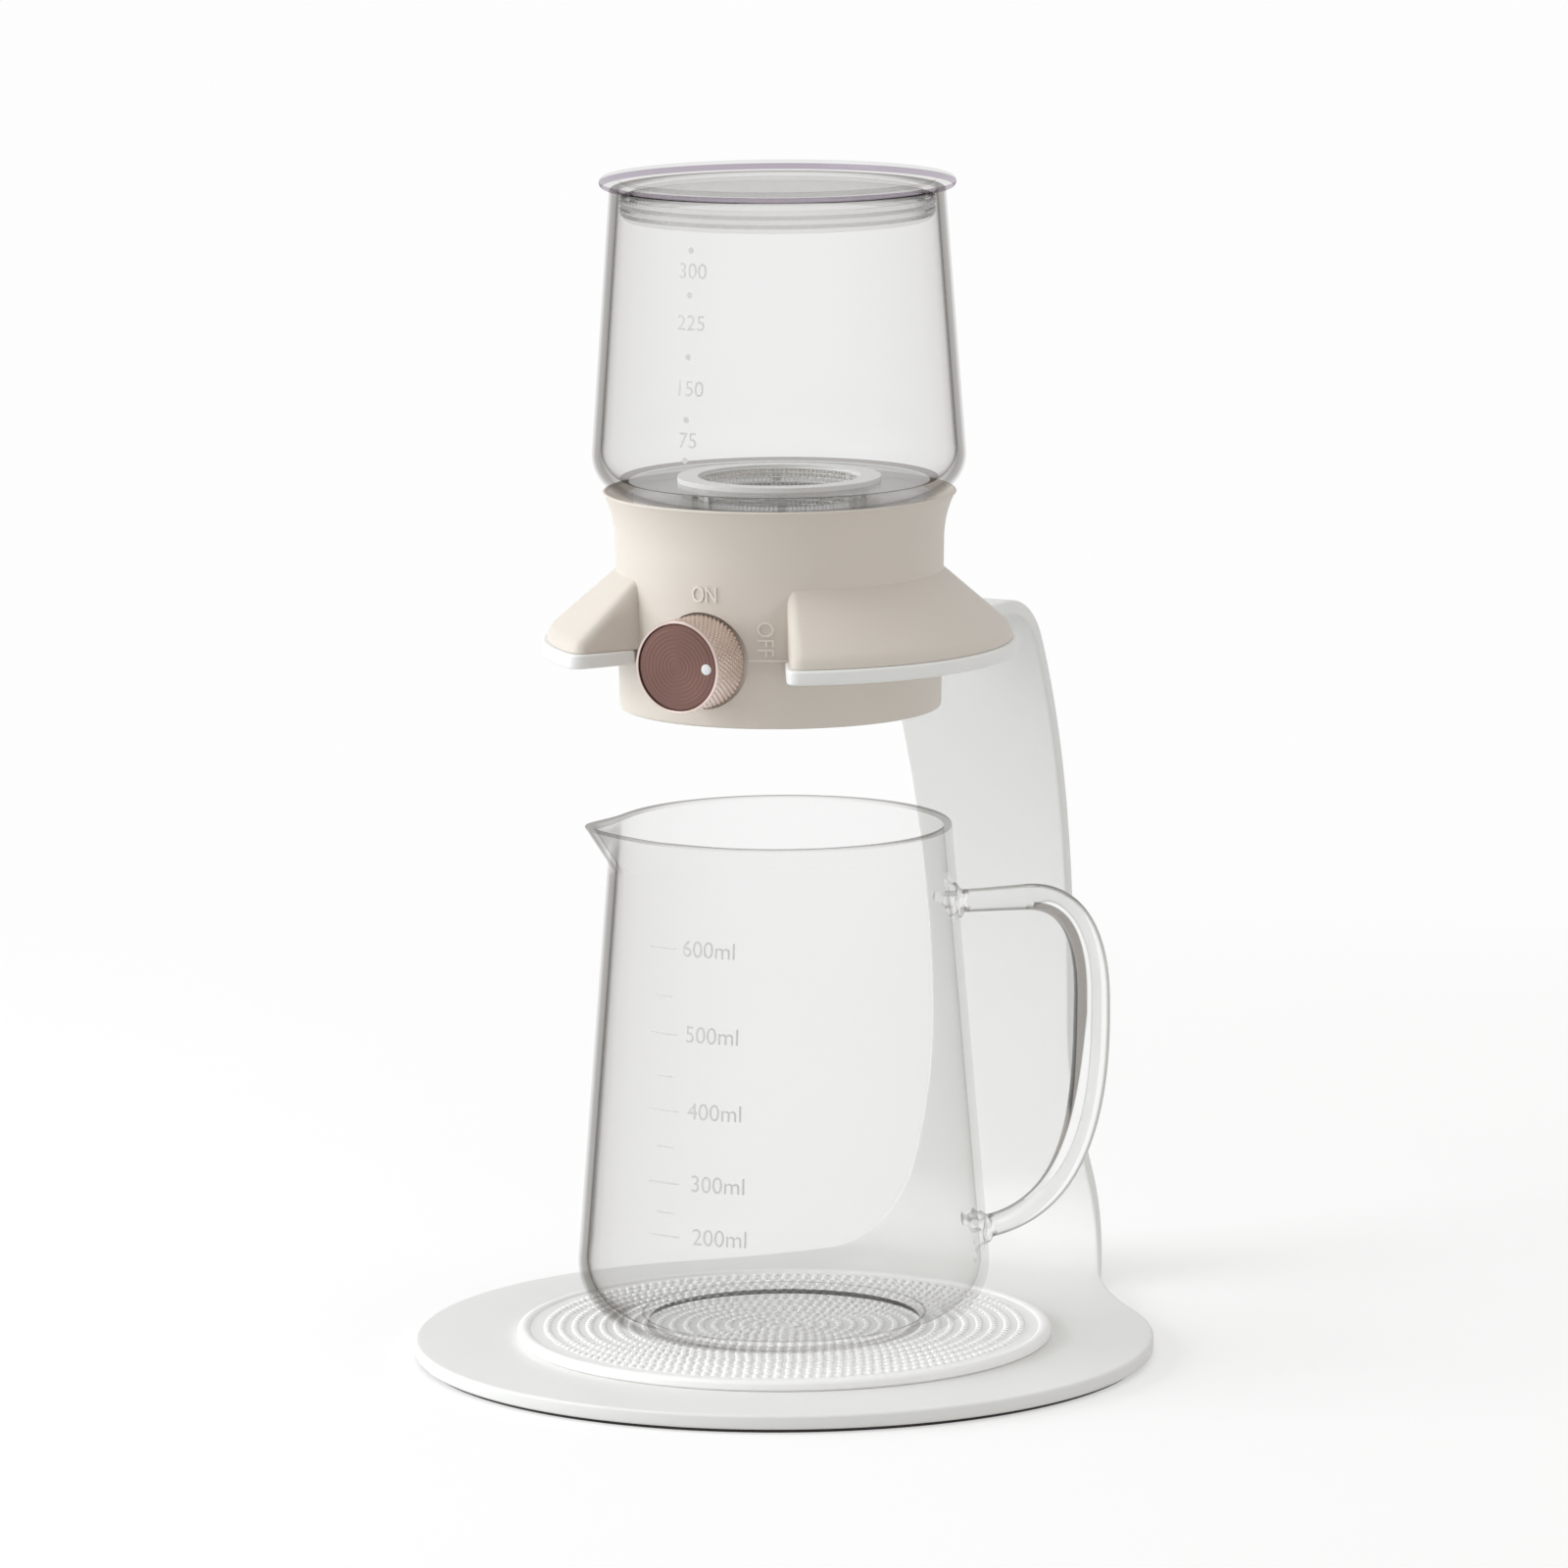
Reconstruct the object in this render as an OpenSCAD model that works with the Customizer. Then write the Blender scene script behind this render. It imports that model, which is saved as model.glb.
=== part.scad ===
// Steep-and-release tea maker: a glass tank with a tap, held by a bent sheet stand above a glass jug.
// Millimetres, +Z up. The origin is on the table under the middle of the base, and the knob faces -Y.

/* [Stand] */
// Diameter of the round base plate
base_d = 180; // [165:1:220]
// Thickness of the bent sheet
sheet_t = 3.5; // [2.5:0.1:5]
// Thickness of the pad under the base
pad_t = 1; // [0.5:0.1:3]
// How far the pad stays inside the edge of the base
pad_inset = 2; // [0.5:0.1:10]
// How far the upright stands behind the edge of the base
spine_setback = 25.3; // [22:0.1:45]
// Width of the upright at its waist
spine_w = 39.2; // [28:0.1:43]
// Width of the arm that carries the fork
arm_w = 44; // [36:0.1:56]
// Inner radius of the bend from the base to the upright
base_bend_r = 20; // [8:0.1:22]
// Radius of the flare that widens the upright into the base
flare_r = 140; // [110:1:180]
// Height at which the upright starts to lean forward
lean_z = 65; // [45:0.5:85]
// Inner radius of the forward lean
lean_r = 230; // [190:1:320]
// Inner radius of the bend from the upright to the arm
arm_bend_r = 16; // [6:0.1:22]
// Height of the top face of the fork
fork_z = 176.2; // [170:0.1:195]
// Outer diameter of the fork ring
fork_d = 115; // [108:0.5:126]
// Angle of the opening at the front of the fork
fork_gap = 60; // [46:1:80]
// Radius of the fillets between the fork ring and the arm
fork_fillet = 18; // [8:0.5:26]

/* [Mat] */
// Diameter of the silicone mat
mat_d = 130; // [118:1:150]
// Thickness of the mat below its ridges
mat_t = 2; // [1:0.1:4]
// Height of the ridges
ridge_h = 0.7; // [0.3:0.1:2]
// Width of a ridge at its foot
ridge_w = 2; // [1.2:0.1:3]
// Distance from ridge to ridge
ridge_pitch = 3.4; // [3.2:0.1:8]
// Width of the plain border of the mat
mat_border = 3.2; // [1:0.1:8]

/* [Jug] */
// Height of the jug from its foot to its rim
jug_h = 123.8; // [100:0.1:135]
// Outer diameter of the jug at its rim
jug_rim_d = 82.6; // [70:0.1:92]
// Slope of the jug's wall, in degrees
jug_slope = 4.7; // [1:0.1:7]
// Outer radius of the corner at the jug's foot
jug_corner_r = 16; // [8:0.1:26]
// Thickness of the jug's wall
jug_wall = 2; // [1.4:0.1:3.5]
// Thickness of the jug's floor
jug_floor = 2.8; // [1.8:0.1:5]
// Width of the spout at the rim
spout_w = 18; // [12:0.1:26]
// Height of the spout
spout_h = 17; // [10:0.1:26]
// How far the spout stands out from the rim
spout_reach = 8.6; // [4:0.1:12]
// Direction of the handle, in degrees from +X
handle_turn = 46; // [0:0.5:60]
// Distance from the axis to the middle of the grip
grip_r = 79.5; // [70:0.1:90]
// Height of the upper leg of the handle above the jug's foot
handle_top = 101.7; // [85:0.1:112]
// Height of the lower root of the handle above the jug's foot
handle_low = 20; // [16:0.1:40]
// Thickness of the grip across the handle
grip_t = 8.8; // [6:0.1:11]
// Width of the grip
grip_w = 11.5; // [6:0.1:14]
// Thickness of the handle at its roots
root_t = 5.6; // [4:0.1:8]
// Width of the handle at its roots
root_w = 6.6; // [4:0.1:9]

/* [Tank] */
// Height of the tank from its foot to its rim
tank_h = 74.2; // [62:0.1:110]
// Outer diameter of the tank at its rim
tank_rim_d = 80.8; // [76:0.1:84]
// Slope of the tank's wall, in degrees
tank_slope = 4.2; // [1:0.1:6]
// Outer radius of the corner at the tank's foot
tank_corner_r = 10; // [7:0.1:12]
// Thickness of the tank's wall
tank_wall = 2; // [1.4:0.1:3]
// Thickness of the tank's floor
tank_floor = 3.4; // [2:0.1:6]
// Diameter of the hole in the tank's floor
tank_hole_d = 42; // [34:0.1:46]

/* [Lid] */
// Outer diameter of the lid
lid_d = 85.6; // [82:0.1:92]
// Thickness of the lid's rim
lid_rim_t = 2.5; // [1.8:0.1:4]
// Depth of the hollow in the lid's top
lid_hollow = 1.4; // [0.4:0.1:2]
// Width of the lid's raised border
lid_border = 4.4; // [3:0.1:8]
// Thickness of the lid's top plate
lid_plate_t = 1.8; // [1:0.1:3]
// How far the plug of the lid reaches into the tank
lid_plug_h = 7.6; // [6:0.1:12]
// Wall of the lid's plug
lid_plug_wall = 1.8; // [1.2:0.1:3]
// Thickness of the lid's seal
lid_seal_t = 0.8; // [0.5:0.1:1.5]
// Height of the lid's seal
lid_seal_h = 4.2; // [2:0.1:5]

/* [Housing] */
// Diameter of the housing's neck
neck_d = 79.2; // [78:0.1:81]
// Diameter of the housing at its foot
foot_d = 77.5; // [75:0.1:78.2]
// How far the housing reaches below the top of the fork
housing_drop = 16.7; // [15.5:0.1:22]
// How far the housing reaches above the top of the fork
collar_h = 35.8; // [33:0.1:46]
// Diameter of the collar's rim
collar_d = 85.2; // [84:0.1:92]
// Height of the flare below the collar's rim
collar_flare_h = 12; // [7:0.1:14]
// Width of the collar's rim
collar_edge = 1; // [0.6:0.1:1.4]
// How far the tank's foot sits below the collar's rim
tank_sink = 1.2; // [0.4:0.1:2]
// Thickness of the deck under the tank
deck_t = 2.5; // [1.5:0.1:4]
// Wall of the housing at its foot
housing_wall = 2.4; // [1.8:0.1:3]
// Outer diameter of the skirt that rests on the fork
skirt_d = 112.2; // [108:0.1:122]
// Height of the skirt above the fork
skirt_h = 16.6; // [14:0.1:21]
// Slope of the skirt, in degrees
skirt_slope = 41; // [33:0.5:44]
// Radius of the skirt's rounded edge
skirt_round = 5; // [4:0.1:8.5]
// Wall of the skirt
skirt_wall = 2; // [1.2:0.1:3]
// Angle of the opening at the front of the skirt
skirt_gap = 62; // [44:1:79]
// How far the bottom cover is set into the housing
cover_recess = 2; // [1.8:0.1:4]
// Thickness of the bottom cover
cover_t = 2; // [1.2:0.1:3]
// Distance of the cover screws from the axis
screw_ring_r = 32.8; // [31.5:0.1:33]
// Diameter of the screws' thread
screw_d = 2.6; // [2:0.1:3]
// Length of the screws below their heads
screw_len = 9; // [6:0.5:12]

/* [Filter and seals] */
// Depth of the filter below the tank's floor
filter_depth = 11; // [6:0.1:12]
// Diameter of the filter's rim
filter_rim_d = 49; // [48:0.1:56]
// Thickness of the filter's rim
filter_rim_t = 1.2; // [0.8:0.1:3]
// Thickness of the filter's mesh
mesh_t = 0.5; // [0.3:0.1:0.8]
// Number of ribs that hold the mesh
filter_ribs = 6; // [3:1:10]
// Thickness of the seals under the tank and over the funnel
seal_t = 2; // [1:0.1:3]

/* [Tap] */
// Height of the knob's axis below the top of the fork
tap_drop = 0.7; // [-1:0.1:2.5]
// Diameter of the knob
knob_d = 22.5; // [18:0.1:25]
// Length of the knob
knob_len = 13.4; // [10:0.1:18]
// Diameter of the knob's face
knob_face_d = 20.8; // [17:0.1:21.2]
// Thickness of the knob's face
knob_face_t = 1.4; // [0.8:0.1:2.5]
// Diameter of the pointer dot
dot_d = 2.6; // [1.2:0.1:3]
// Distance of the pointer dot from the knob's axis
dot_r = 7.9; // [5:0.1:8.6]
// Diameter of the stem
stem_d = 7; // [5:0.1:7.6]
// Diameter of the tap's plug
plug_d = 12; // [11:0.1:14]
// Wall of the tap's barrel
barrel_wall = 3; // [2:0.1:3.4]
// Length of the plug
plug_len = 26; // [22:0.1:30]
// Diameter of the water way
flow_d = 8.4; // [6:0.1:8.8]
// Wall of the pipes above and below the barrel
pipe_wall = 2.4; // [1.6:0.1:2.8]
// How far the outlet reaches below the housing
outlet_drop = 2; // [0:0.1:4]

/* [Clearances] */
// Gap between a turning shaft and its hole
run_gap = 0.05; // [0.02:0.01:0.1]
// Gap between fixed pieces that slide together in assembly
seat_gap = 0.1; // [0.05:0.01:0.2]
// Gap between pieces that lift apart
lift_gap = 0.4; // [0.25:0.05:0.6]

/* [Hidden] */
$fn = 96;

// Overshoot of a cut past the face that it opens
cut = 1;
// Width of a hex key's socket as a share of its screw
key_share = 0.6;
// Steps of a rounded corner in a section
corner_steps = 12;
edge_steps = 4;
white = [0.93, 0.93, 0.92];
cream = [0.89, 0.87, 0.84];
clear = [0.85, 0.9, 0.9, 0.35];
silicone = [0.9, 0.9, 0.9];
rose = [0.76, 0.63, 0.58];
brown = [0.5, 0.4, 0.37];
steel = [0.7, 0.7, 0.72];

// Stand
base_r = base_d / 2;
base_top = pad_t + sheet_t;
spine_y = base_r + spine_setback;
low_bend = [spine_y - base_bend_r, base_top + base_bend_r];
fork_r = fork_d / 2;
fork_low = fork_z - sheet_t;
lean_end = asin((fork_low - arm_bend_r - lean_z) / (lean_r - arm_bend_r));
lean_centre = [spine_y - lean_r, lean_z];
high_bend = lean_centre + (lean_r - arm_bend_r) * [cos(lean_end), sin(lean_end)];
flare_x = spine_w / 2 + flare_r;
flare_y = sqrt(pow(base_r + flare_r, 2) - pow(flare_x, 2));
fillet_x = arm_w / 2 + fork_fillet;
fillet_y = sqrt(pow(fork_r + fork_fillet, 2) - pow(fillet_x, 2));
web_steps = 14;
web_sink = 0.3;
bend_steps = 12;
lean_steps = 16;
upright_steps = 6;

// Housing
housing_low = fork_z - housing_drop;
collar_z = fork_z + collar_h;
neck_r = neck_d / 2;
foot_r = foot_d / 2;
collar_r = collar_d / 2;
bore_r = foot_r - housing_wall;
tank_low = collar_z - tank_sink;
deck_top = tank_low - seal_t;
deck_low = deck_top - deck_t;
fork_hole_r = neck_r + lift_gap;
skirt_r = skirt_d / 2;
skirt_foot_turn = 1;
gland_end = 1;
cover_low = housing_low + cover_recess;
cover_top = cover_low + cover_t;
foot_edge_r = 0.8;
screw_r = screw_d / 2;
screw_head_r = screw_d;
screw_head_inset = 0.4;
screw_head_h = cover_recess - screw_head_inset;
screw_boss_wall = 2.4;
screw_boss_r = screw_r + screw_boss_wall;
screw_boss_end = 1;
screw_angles = [90, 210, 330];

// Tap
tap_z = fork_z - tap_drop;
knob_r = knob_d / 2;
stem_r = stem_d / 2;
plug_r = plug_d / 2;
barrel_bore_r = plug_r + run_gap;
barrel_r = barrel_bore_r + barrel_wall;
flow_r = flow_d / 2;
pipe_r = flow_r + pipe_wall;
barrel_front_t = 2;
cap_t = 2;
cap_spigot = 2;
plug_shift = 1;
plug_front = -plug_len / 2 - plug_shift;
plug_back = plug_front + plug_len;
barrel_front = plug_front - lift_gap - barrel_front_t;
barrel_back = plug_back + lift_gap + cap_spigot;
pocket_wall = 1;
pocket_y = -bore_r - pocket_wall;
pocket_r = knob_r + lift_gap;
gland_flange_t = 0.5;
gland_flange_w = 1.5;
gland_wall = 1.5;
gland_r = stem_r + gland_wall;
knob_back = pocket_y - gland_flange_t - lift_gap / 2;
knob_front = knob_back - knob_len;
knob_floor = knob_front + knob_face_t;
knob_floor_t = 2;
knob_bevel = 0.4;
stem_front = knob_floor + knob_floor_t;
o_ring_r = 0.6;
o_ring_centre_r = barrel_bore_r - run_gap / 2 - o_ring_r;
groove_r = o_ring_centre_r - o_ring_r - run_gap / 2;
groove_slack = 0.2;
groove_w = 2 * o_ring_r + groove_slack;
seal_inset = 3;
seal_places = [plug_front + seal_inset, plug_back - seal_inset];
set_screw_r = 1.5;
set_screw_inset = 1.2;
set_screw_key = 2;
set_screw_y = (knob_back + stem_front) / 2;

// Funnel, pipes and outlet
inlet_len = 7;
inlet_top = tap_z + barrel_r + inlet_len;
socket_gap = 0.8;
socket_low = tap_z + barrel_r + socket_gap;
socket_wall = 2;
socket_r = pipe_r + seat_gap + socket_wall;
funnel_wall = 2;
funnel_margin = 3;
funnel_r = tank_hole_d / 2 + funnel_margin;
funnel_flange_t = 2;
funnel_seal_t = seal_t / 2;
funnel_top = deck_low - funnel_seal_t;
funnel_room = 2;
funnel_cone_z = tank_low + tank_floor - filter_depth - funnel_room;
outlet_top = cover_top;
outlet_flange_t = 1.8;
outlet_flange_w = 2;
outlet_wall = 1.2;
outlet_r = pipe_r + seat_gap + outlet_wall;
outlet_low = housing_low - outlet_drop;
outlet_lip_t = 2.4;
pipe_low = outlet_low + outlet_lip_t;

// Tank, filter and lid
tank_rim_z = tank_low + tank_h;
tank_rim_r = tank_rim_d / 2;
tank_hole_r = tank_hole_d / 2;
tank_mouth_r = tank_rim_r - tank_wall / cos(tank_slope);
tank_flat_r = tank_rim_r + (tank_h - tank_corner_r) * tan(tank_slope) - tank_corner_r / cos(tank_slope);
filter_rim_r = filter_rim_d / 2;
filter_rim_low = tank_low + tank_floor;
filter_r = tank_hole_r - lift_gap;
filter_rib_t = 1;
filter_rib_w = 2;
filter_low = filter_rim_low - filter_depth;
mesh_r = filter_r - filter_rib_t;
lid_r = lid_d / 2;
lid_top = tank_rim_z + lid_rim_t;
lid_hollow_z = lid_top - lid_hollow;
lid_seal_r = tank_mouth_r - lift_gap;
lid_plug_r = lid_seal_r - lid_seal_t;
lid_plug_low = tank_rim_z - lid_plug_h;
lid_seal_rise = 1.2;
lid_seal_low = lid_plug_low + lid_seal_rise;
lid_seal_lip = 0.3;
lid_seal_lips = 2;

// Jug and mat
mat_r = mat_d / 2;
mat_top = base_top + mat_t;
ridge_top = mat_top + ridge_h;
jug_low = ridge_top;
jug_rim_z = jug_low + jug_h;
jug_rim_r = jug_rim_d / 2;
spout_root_r = jug_rim_r + spout_reach - spout_w / 2;
spout_tilt = 3;
spout_point_r = 1;
spout_wall = 1.6;
spout_tip_r = 0.01;

// Points on an arc about a centre, from one angle to another
function arc_points(centre, r, from, to, steps) =
    [for (i = [0:steps]) let (a = from + (to - from) * i / steps) centre + r * [cos(a), sin(a)]];

// Half section of a solid cup: flat floor, round corner, wall that leans inwards as it rises
function cup_points(rim_r, rim_z, slope, corner_r, floor_z) =
    let (corner_z = floor_z + corner_r)
    let (corner_x = rim_r + (rim_z - corner_z) * tan(slope) - corner_r / cos(slope))
    concat([[0, floor_z]],
        arc_points([corner_x, corner_z], corner_r, -90, slope, corner_steps),
        [[rim_r, rim_z], [0, rim_z]]);

// Point at t on a cubic curve with four control points
function curve_point(p, t) =
    pow(1 - t, 3) * p[0] + 3 * t * pow(1 - t, 2) * p[1] + 3 * t * t * (1 - t) * p[2] + pow(t, 3) * p[3];

// Faces of a closed tube made of rings with the same number of points
function tube_faces(rings, sides) = concat(
    [for (i = [0:rings - 2]) for (k = [0:sides - 1])
        [i * sides + k, i * sides + (k + 1) % sides, (i + 1) * sides + k]],
    [for (i = [0:rings - 2]) for (k = [0:sides - 1])
        [i * sides + (k + 1) % sides, (i + 1) * sides + (k + 1) % sides, (i + 1) * sides + k]],
    [for (k = [1:sides - 2]) [0, k + 1, k]],
    [for (k = [1:sides - 2]) let (o = (rings - 1) * sides) [o, o + k, o + k + 1]]);

// A ring about the Z axis with a rectangular section
module ring(inner_r, outer_r, low, high) {
    rotate_extrude() translate([inner_r, low]) square([outer_r - inner_r, high - low]);
}

// A cylinder along Y between two places on the tap's axis
module tap_rod(r, from, to) {
    translate([0, from, tap_z]) rotate([-90, 0, 0]) cylinder(r = r, h = to - from);
}

// A ring about the tap's axis
module tap_ring(inner_r, outer_r, from, to) {
    difference() {
        tap_rod(outer_r, from, to);
        tap_rod(inner_r, from - cut, to + cut);
    }
}

// Stand: half width of the upright at a length along the sheet behind the axis
function flare_half(along) =
    along > flare_y ? spine_w / 2 : flare_x - sqrt(flare_r * flare_r - pow(flare_y - along, 2));

// Half width on the leaning stretch, which widens again towards the arm
function lean_half(share) = spine_w / 2 + (arm_half - spine_w / 2) * share * share * (3 - 2 * share);

// One section of the sheet: centre of its bend, inner radius, angle and half width
function sheet_section(centre, r, angle, half) =
    let (inner = centre + r * [cos(angle), sin(angle)])
    let (outer = centre + (r + sheet_t) * [cos(angle), sin(angle)])
    [[half, inner[0], inner[1]], [-half, inner[0], inner[1]],
        [-half, outer[0], outer[1]], [half, outer[0], outer[1]]];

// The bent strip laps into the flat plates at both ends, a hair narrower than they are
upright_low = low_bend[1];
bend_length = base_bend_r * PI / 2;
lap = 3;
lap_inset = 0.05;
lap_half = flare_half(low_bend[0]) - lap_inset;
arm_half = arm_w / 2 - lap_inset;
sheet_sections = concat(
    [sheet_section(low_bend - [lap, 0], base_bend_r, -90, lap_half)],
    [for (i = [0:bend_steps])
        sheet_section(low_bend, base_bend_r, -90 + 90 * i / bend_steps,
            min(lap_half, flare_half(low_bend[0] + bend_length * i / bend_steps)))],
    [for (i = [1:upright_steps]) let (rise = (lean_z - upright_low) * i / upright_steps)
        sheet_section(low_bend + [0, rise], base_bend_r, 0,
            flare_half(low_bend[0] + bend_length + rise))],
    [for (i = [1:lean_steps])
        sheet_section(lean_centre, lean_r, lean_end * i / lean_steps, lean_half(i / lean_steps))],
    [for (i = [1:bend_steps])
        sheet_section(high_bend, arm_bend_r, lean_end + (90 - lean_end) * i / bend_steps, arm_half)],
    [sheet_section(high_bend - [lap, 0], arm_bend_r, 90, arm_half)]);

// One edge of the web between a ring and a strip, along a fillet that runs out of the ring
function web_edge(ring_r, fillet_r, centre, end_y) =
    let (first = 180 + atan2(centre[1], centre[0]))
    let (last = 180 + asin((centre[1] - end_y) / fillet_r))
    let (arc = arc_points(centre, fillet_r, first, last, web_steps))
    concat([arc[0] * (1 - web_sink / ring_r)], [for (i = [1:web_steps]) arc[i]]);

// Web with a fillet on both sides
module web(ring_r, fillet_r, centre, end_y) {
    edge = web_edge(ring_r, fillet_r, centre, end_y);
    polygon(concat(edge, [for (i = [web_steps:-1:0]) [-edge[i][0], edge[i][1]]]));
}

module base_outline() {
    circle(r = base_r);
    web(base_r, flare_r, [flare_x, flare_y], low_bend[0]);
}

module fork_outline() {
    difference() {
        union() {
            circle(r = fork_r);
            web(fork_r, fork_fillet, [fillet_x, fillet_y], fillet_y);
            translate([-arm_w / 2, 0]) square([arm_w, high_bend[0]]);
        }
        circle(r = fork_hole_r);
        polygon([[0, 0], 2 * fork_r * [-sin(fork_gap / 2), -cos(fork_gap / 2)],
            2 * fork_r * [sin(fork_gap / 2), -cos(fork_gap / 2)]]);
    }
}

module stand() {
    color(white) {
        translate([0, 0, pad_t]) linear_extrude(sheet_t) base_outline();
        translate([0, 0, fork_low]) linear_extrude(sheet_t) fork_outline();
        polyhedron([for (s = sheet_sections) for (p = s) p], tube_faces(len(sheet_sections), 4));
    }
}

module foot_pad() {
    color("dimgray") cylinder(r = base_r - pad_inset, h = pad_t);
}

module drip_mat() {
    top_w = ridge_w / 2;
    color(silicone) {
        translate([0, 0, base_top]) cylinder(r = mat_r, h = mat_t);
        for (r = [ridge_pitch:ridge_pitch:mat_r - mat_border - ridge_w / 2])
            rotate_extrude() polygon([[r - ridge_w / 2, mat_top], [r + ridge_w / 2, mat_top],
                [r + top_w / 2, ridge_top], [r - top_w / 2, ridge_top]]);
    }
}

// Solid inside the jug's outer face
module jug_form() {
    rotate_extrude()
        polygon(cup_points(jug_rim_r, jug_rim_z - jug_wall / 2, jug_slope, jug_corner_r, jug_low));
}

// Tilted cone that the spout is made of, shrunk by a wall
module spout_cone(wall) {
    rotate([0, 0, handle_turn + 180]) translate([spout_root_r, 0, jug_rim_z])
        rotate([0, spout_tilt, 0]) translate([0, 0, -spout_h])
            cylinder(r1 = max(spout_point_r - wall, spout_tip_r), r2 = spout_w / 2 - wall, h = spout_h);
}

module jug_glass() {
    bead_r = jug_wall / 2;
    inner_r = jug_rim_r - jug_wall / cos(jug_slope);
    color(clear) difference() {
        union() {
            jug_form();
            rotate_extrude() translate([jug_rim_r - bead_r, jug_rim_z - bead_r]) circle(r = bead_r);
            spout_cone(0);
        }
        rotate_extrude() polygon(cup_points(inner_r - cut * tan(jug_slope), jug_rim_z + cut, jug_slope,
            jug_corner_r - jug_wall, jug_low + jug_floor));
        spout_cone(spout_wall);
        translate([0, 0, jug_rim_z]) cylinder(r = 2 * jug_rim_r, h = spout_h);
    }
}

// Handle: a straight leg, an upper bend into the grip and a long sweep back to the lower root,
// in the handle's own plane, as distance from the axis and height above the jug's foot
upper_bend_w = 17;
upper_bend_h = 25;
upper_pull = 0.65;
sweep_pull = 27;
sweep_lean = 2.5;
sweep_rise = 1;
root_cover = 6;
leg_steps = 3;
handle_steps = 14;
handle_sides = 14;
leg_start_r = jug_rim_r - jug_wall / 2;
upper_bend_r = grip_r - upper_bend_w;
grip_mid = handle_top - upper_bend_h;
upper_curve = [[upper_bend_r, handle_top], [upper_bend_r + upper_pull * upper_bend_w, handle_top],
    [grip_r, grip_mid + upper_pull * upper_bend_h], [grip_r, grip_mid]];
lower_curve = [[grip_r, grip_mid], [grip_r, grip_mid - sweep_pull],
    [grip_r - sweep_lean, handle_low + sweep_rise], [jug_rim_r + root_cover, handle_low]];
handle_path = concat(
    [for (i = [0:leg_steps - 1]) [leg_start_r + (upper_bend_r - leg_start_r) * i / leg_steps, handle_top]],
    [for (i = [0:handle_steps]) curve_point(upper_curve, i / handle_steps)],
    [for (i = [1:handle_steps]) curve_point(lower_curve, i / handle_steps)]);
handle_last = len(handle_path) - 1;

// Share of the grip's thickness at a place along the path, 0 at the roots and 1 at the grip
function grip_share(i) = let (t = sin(180 * i / handle_last)) t * t;

function handle_ring(i) =
    let (a = handle_path[max(i - 1, 0)], b = handle_path[min(i + 1, handle_last)])
    let (along = (b - a) / norm(b - a), p = handle_path[i])
    let (half_t = (root_t + (grip_t - root_t) * grip_share(i)) / 2)
    let (half_w = (root_w + (grip_w - root_w) * grip_share(i)) / 2)
    [for (k = [0:handle_sides - 1]) let (u = 360 * k / handle_sides, out = half_t * cos(u))
        [p[0] - along[1] * out, half_w * sin(u), jug_low + p[1] + along[0] * out]];

module jug_handle() {
    rings = [for (i = [0:handle_last]) handle_ring(i)];
    color(clear) difference() {
        rotate([0, 0, handle_turn])
            polyhedron([for (r = rings) for (p = r) p], tube_faces(len(rings), handle_sides));
        jug_form();
    }
}

// Half section of the skirt, shrunk by a wall and open below to a depth
function skirt_points(wall, low) =
    let (edge_x = skirt_r - skirt_round)
    let (edge_r = skirt_round - wall)
    let (touch_x = edge_x + skirt_round * sin(skirt_slope))
    let (touch_z = fork_z + skirt_h - (touch_x - neck_r) * tan(skirt_slope))
    let (edge_z = touch_z - skirt_round * cos(skirt_slope))
    let (start_r = wall > 0 ? neck_r : neck_r - housing_wall / 2)
    let (start_z = fork_z + skirt_h - (start_r - neck_r) * tan(skirt_slope) - wall / cos(skirt_slope))
    let (first = max(0, asin((low - edge_z) / edge_r) + skirt_foot_turn))
    concat([[start_r, low], [skirt_r - wall, low]],
        arc_points([edge_x, edge_z], edge_r, first, 90 - skirt_slope, corner_steps),
        [[start_r, start_z]]);

// The skirt's section swept round the back, leaving an opening at the front
module skirt_sweep(wall, low, gap) {
    rotate([0, 0, gap / 2 - 90]) rotate_extrude(angle = 360 - gap) polygon(skirt_points(wall, low));
}

module screw_bosses() {
    for (a = screw_angles) rotate([0, 0, a]) translate([screw_ring_r, 0, cover_top]) difference() {
        cylinder(r = screw_boss_r, h = screw_len + screw_boss_end);
        translate([0, 0, -cut]) cylinder(r = screw_r, h = screw_len + cut);
    }
}

// Half section of the housing's outside, from its foot up the neck to the flared collar
function housing_points() =
    let (flare_z = collar_z - collar_flare_h)
    let (flare_w = collar_r - neck_r)
    let (collar_arc_r = (pow(collar_flare_h, 2) + pow(flare_w, 2)) / (2 * flare_w))
    let (collar_turn = asin(collar_flare_h / collar_arc_r))
    concat([[0, housing_low]],
        arc_points([foot_r - foot_edge_r, housing_low + foot_edge_r], foot_edge_r, -90, 0, edge_steps),
        arc_points([neck_r + collar_arc_r, flare_z], collar_arc_r, 180, 180 - collar_turn, corner_steps),
        [[0, collar_z]]);

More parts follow.
